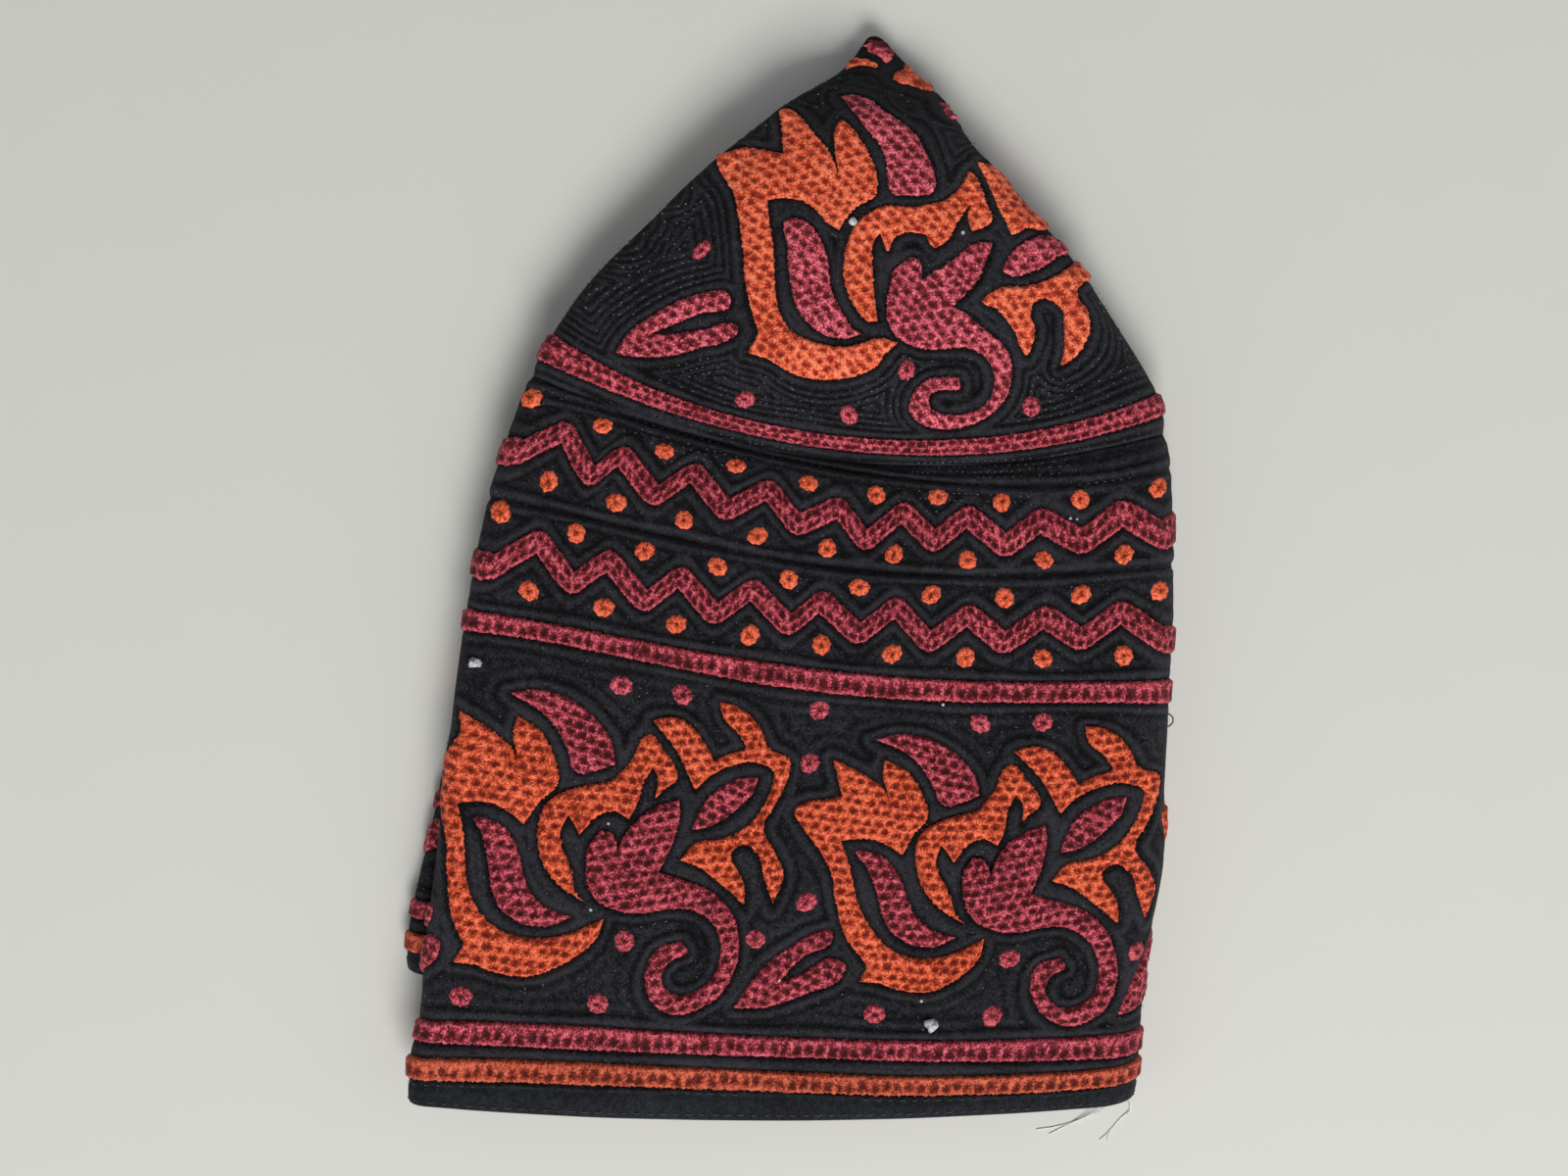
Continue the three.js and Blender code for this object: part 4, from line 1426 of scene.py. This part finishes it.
class CAP_OT_stitches(Operator):
    """Sews the quilting, the crease and the hem with short stitches"""
    bl_idname = "cap.stitches"
    bl_label = "Stitches"

    def execute(self, context):
        colours, sizes = context.scene.cap_colours, context.scene.cap_sizes
        # The quilting stitches run by noise from dark thread to a grey that is a painted glint.
        dark = loose_thread("dark_thread", tuple(colours.stitch), 0.3)
        black = loose_thread("hem_thread", tuple(colours.hem_stitch), 0.4)
        pale = loose_thread("pale_thread", tuple(colours.pale))
        crown = Patches()
        places, tangents = groove_stitches(CrownChart, (0, 0), (93, 93), sizes, 9, 1.1)
        for turn in range(4):
            dashes(crown, CrownChart, turn, places, tangents, 0.55, 0.26, 0.12)
        crown.piece("crown_stitches", dark, "quilted_cotton")
        band = Patches()
        places, tangents = groove_stitches(RoundChart, (0, HEM_HEIGHT), (QUARTER, SEAM_HEIGHT),
                                           sizes, 2, 1.5)
        for turn in range(4):
            dashes(band, RoundChart, turn, places, tangents, 0.5, 0.22, 0.1)
        dashes(band, RoundChart, 4, *stitched_ring(TOP_STITCHES, 0, 1.7, 0.8, 1), 0.8, 0.24, 0.05)
        band.piece("band_stitches", dark, "quilted_cotton")
        # The crease stitches are pale: painted glints on the stitching.
        crease = Patches()
        dashes(crease, RoundChart, 4, *stitched_ring(CREASE, 0.6, 1.9, 0.6, 2), 1.2, 0.24, 0.1)
        crease.piece("crease_stitches", pale, "pale_thread")
        hem = Patches()
        rim = lambda around: 1.1 + 0 * around
        border = charted_edge(STRIPES[0][1])
        dashes(hem, RoundChart, 4, *stitched_ring(rim, 0, 2.4, 1.0, 3), 1.2, 0.3, 0.2)
        dashes(hem, RoundChart, 4, *stitched_ring(border, 0.9, 2.2, 0.7, 4), 1.1, 0.28, 0.15)
        hem.piece("hem_stitches", black, "hem_cotton")
        return {"FINISHED"}


class CAP_OT_lint(Operator):
    """Puts the pale lint on the front"""
    bl_idname = "cap.lint"
    bl_label = "Lint"

    def execute(self, context):
        around, height = on_cloth(LINT[:, :2])
        radius = LINT[:, 2] * CHART_UNIT
        rings, spokes = 7, 10
        turn = np.linspace(0, TAU, spokes, endpoint=False)
        lift = np.linspace(0, np.pi, rings)[1:-1, None]
        ball = stack(np.sin(lift) * np.cos(turn), np.sin(lift) * np.sin(turn), np.cos(lift))
        ball = np.concatenate([[[0, 0, 1]], ball.reshape(-1, 3), [[0, 0, -1]]])
        seed = np.arange(len(radius))[:, None]
        rough = np.where(radius > 5 * CHART_UNIT, 1.1, 0.3)[:, None]
        grow = 1 + rough * (scatter(seed, np.arange(len(ball))[None], 5) - 0.5)
        middle = cloth(around, height, swell(around, height) + 0.45 + 0.2 * radius)
        points = middle[:, None] + ball[None] * (grow * radius[:, None])[..., None] * [1, 1, 0.7]
        end = fan_faces(len(ball) - 1, 1 + (rings - 3) * spokes, spokes)[:, [0, 2, 1]]
        patches = Patches()
        patches.add_copies(points, [tube_faces(rings - 2, spokes, 1),
                                    np.concatenate([fan_faces(0, 1, spokes), end])])
        patches.piece("lint", bpy.data.materials["pale_thread"], "pale_thread")
        return {"FINISHED"}


def strand(patches, chart, height, radius):
    """A bare thread: a round tube of six sides along a smooth curve through charted places at
    the given heights, closed at both ends."""
    where = chart_mm(np.reshape([float(v) for v in chart.split()], (-1, 2)))
    height = np.array(height, float)[:, None]
    corners = np.hstack([where * (EYE_HEIGHT - height) / (EYE_HEIGHT - CHART_HEIGHT), height])
    place = np.linspace(0, len(corners) - 1, 6 * len(corners))
    weight = np.exp(-((place[:, None] - np.arange(len(corners))) / 0.55) ** 2)
    line = weight @ corners / weight.sum(1)[:, None]
    way = unit(np.gradient(line, axis=0))
    side = unit(np.cross(way, [0.0, 0.0, 1.0]))
    up = np.cross(side, way)
    sides = 6
    turn = np.arange(sides)[:, None] / sides * TAU
    ring = side[:, None] * np.cos(turn) + up[:, None] * np.sin(turn)
    end = np.arange(sides)[None]
    patches.add(line[:, None] + radius * ring,
                [tube_faces(len(line), sides), end, (len(line) - 1) * sides + end[:, ::-1]])


class CAP_OT_loose_threads(Operator):
    """Lays the loose thread ends beside the hem and the small loop at the round fold"""
    bl_idname = "cap.loose_threads"
    bl_label = "Loose threads"

    def execute(self, context):
        colours = context.scene.cap_colours
        grey = loose_thread("grey_thread", tuple(colours.loose), 0.75)
        ends = Patches()
        for chart, height in (
            ("1130 1128 1122 1134 1104 1141 1090 1146 1073 1150 1057 1152",
             (3, 0.9, 0.12, 0.12, 0.12, 0.12)),
            ("1126 1130 1110 1138 1092 1146 1080 1152 1070 1157", (3, 0.7, 0.14, 0.12, 0.12)),
            ("1150 1116 1154 1124 1154 1133 1144 1140 1136 1149 1130 1156 1122 1163",
             (4, 2.5, 0.4, 0.12, 0.12, 0.12, 0.12)),
            ("1136 1149 1131 1157 1130 1164", (0.14, 0.12, 0.12)),
        ):
            strand(ends, chart, height, 0.11)
        ends.piece("loose_threads", grey, "pale_thread")
        loop = Patches()
        strand(loop, "1183 732 1188 731 1193 728 1197 732 1197 737 1193 741 1188 741 1183 739",
               (8, 8.2, 8.6, 8.8, 8.8, 8.6, 8.2, 8), 0.15)
        rose = loose_thread("rose_thread_end", tuple(v * 0.6 for v in colours.rose))
        loop.piece("rose_thread_loop", rose, "rose_thread")
        return {"FINISHED"}


class CAP_OT_stage(Operator):
    """Sets the camera straight above, the pale table and the soft lights"""
    bl_idname = "cap.stage"
    bl_label = "Camera, table and lights"

    def execute(self, context):
        scene = context.scene
        camera = bpy.data.objects.new("camera", bpy.data.cameras.new("camera"))
        scene.collection.objects.link(camera)
        camera.location = (*((chart_mm([800, 600]) - MIDDLE[:2]) * MM), EYE_HEIGHT * MM)
        sensor = 36
        camera.data.sensor_width = sensor
        camera.data.lens = sensor * (EYE_HEIGHT - CHART_HEIGHT) / (PHOTO_WIDTH * CHART_UNIT)
        camera.data.clip_start = 0.01
        scene.camera = camera

        side = 1.6
        mesh = bpy.data.meshes.new("table")
        corners = np.array([[-1, -1, 0], [1, -1, 0], [1, 1, 0], [-1, 1, 0]]) * side
        mesh.from_pydata(corners, [], [[0, 1, 2, 3]])
        mesh.materials.append(table_top(tuple(scene.cap_colours.table)))
        table = bpy.data.objects.new("table", mesh)
        scene.collection.objects.link(table)

        world = bpy.data.worlds.new("studio")
        world.use_nodes = True
        world.node_tree.nodes["Background"].inputs[0].default_value = (0.93, 0.96, 1.0, 1)
        world.node_tree.nodes["Background"].inputs[1].default_value = 0.22
        scene.world = world
        scene.view_settings.view_transform = "Standard"
        for name, place, size, power, tint in (
            ("window", (0.26, -1.3, 1.42), 0.85, 37.0, (1.0, 0.985, 0.955)),
            ("fill_right", (1.0, 0.1, 0.8), 0.9, 2.0, (0.97, 0.985, 1.0)),
            ("fill_left", (-1.0, -0.3, 0.8), 0.9, 1.5, (0.97, 0.985, 1.0)),
        ):
            light = bpy.data.lights.new(name, "AREA")
            light.energy, light.size, light.color = power, size, tint
            lamp = bpy.data.objects.new(name, light)
            lamp.location = place
            lamp.rotation_euler = (-Vector(place)).to_track_quat("-Z", "Y").to_euler()
            scene.collection.objects.link(lamp)
        return {"FINISHED"}


class CAP_PT_sidebar(Panel):
    """Lists the cap's pieces and settings"""
    bl_idname = "CAP_PT_sidebar"
    bl_label = "Prayer cap"
    bl_space_type = "VIEW_3D"
    bl_region_type = "UI"
    bl_category = "Prayer cap"

    def draw(self, context):
        for group in (context.scene.cap_sizes, context.scene.cap_colours):
            for name in group.bl_rna.properties.keys():
                if name not in ("rna_type", "name"):
                    self.layout.prop(group, name)
        for operator in OPERATORS:
            self.layout.operator(operator.bl_idname)


OPERATORS = (CAP_OT_stage, CAP_OT_cloth, CAP_OT_hem, CAP_OT_lines, CAP_OT_band_flowers,
             CAP_OT_crown_flowers, CAP_OT_dots, CAP_OT_stitches, CAP_OT_lint,
             CAP_OT_loose_threads)
CLASSES = (CapSizes, CapColours, *OPERATORS, CAP_PT_sidebar)


def register():
    for cls in CLASSES:
        bpy.utils.register_class(cls)
    bpy.types.Scene.cap_sizes = PointerProperty(type=CapSizes)
    bpy.types.Scene.cap_colours = PointerProperty(type=CapColours)


def unregister():
    del bpy.types.Scene.cap_sizes, bpy.types.Scene.cap_colours
    for cls in reversed(CLASSES):
        bpy.utils.unregister_class(cls)


def main():
    register()
    for operator in OPERATORS:
        group, name = operator.bl_idname.split(".")
        getattr(getattr(bpy.ops, group), name)()


if __name__ == "__main__":
    main()
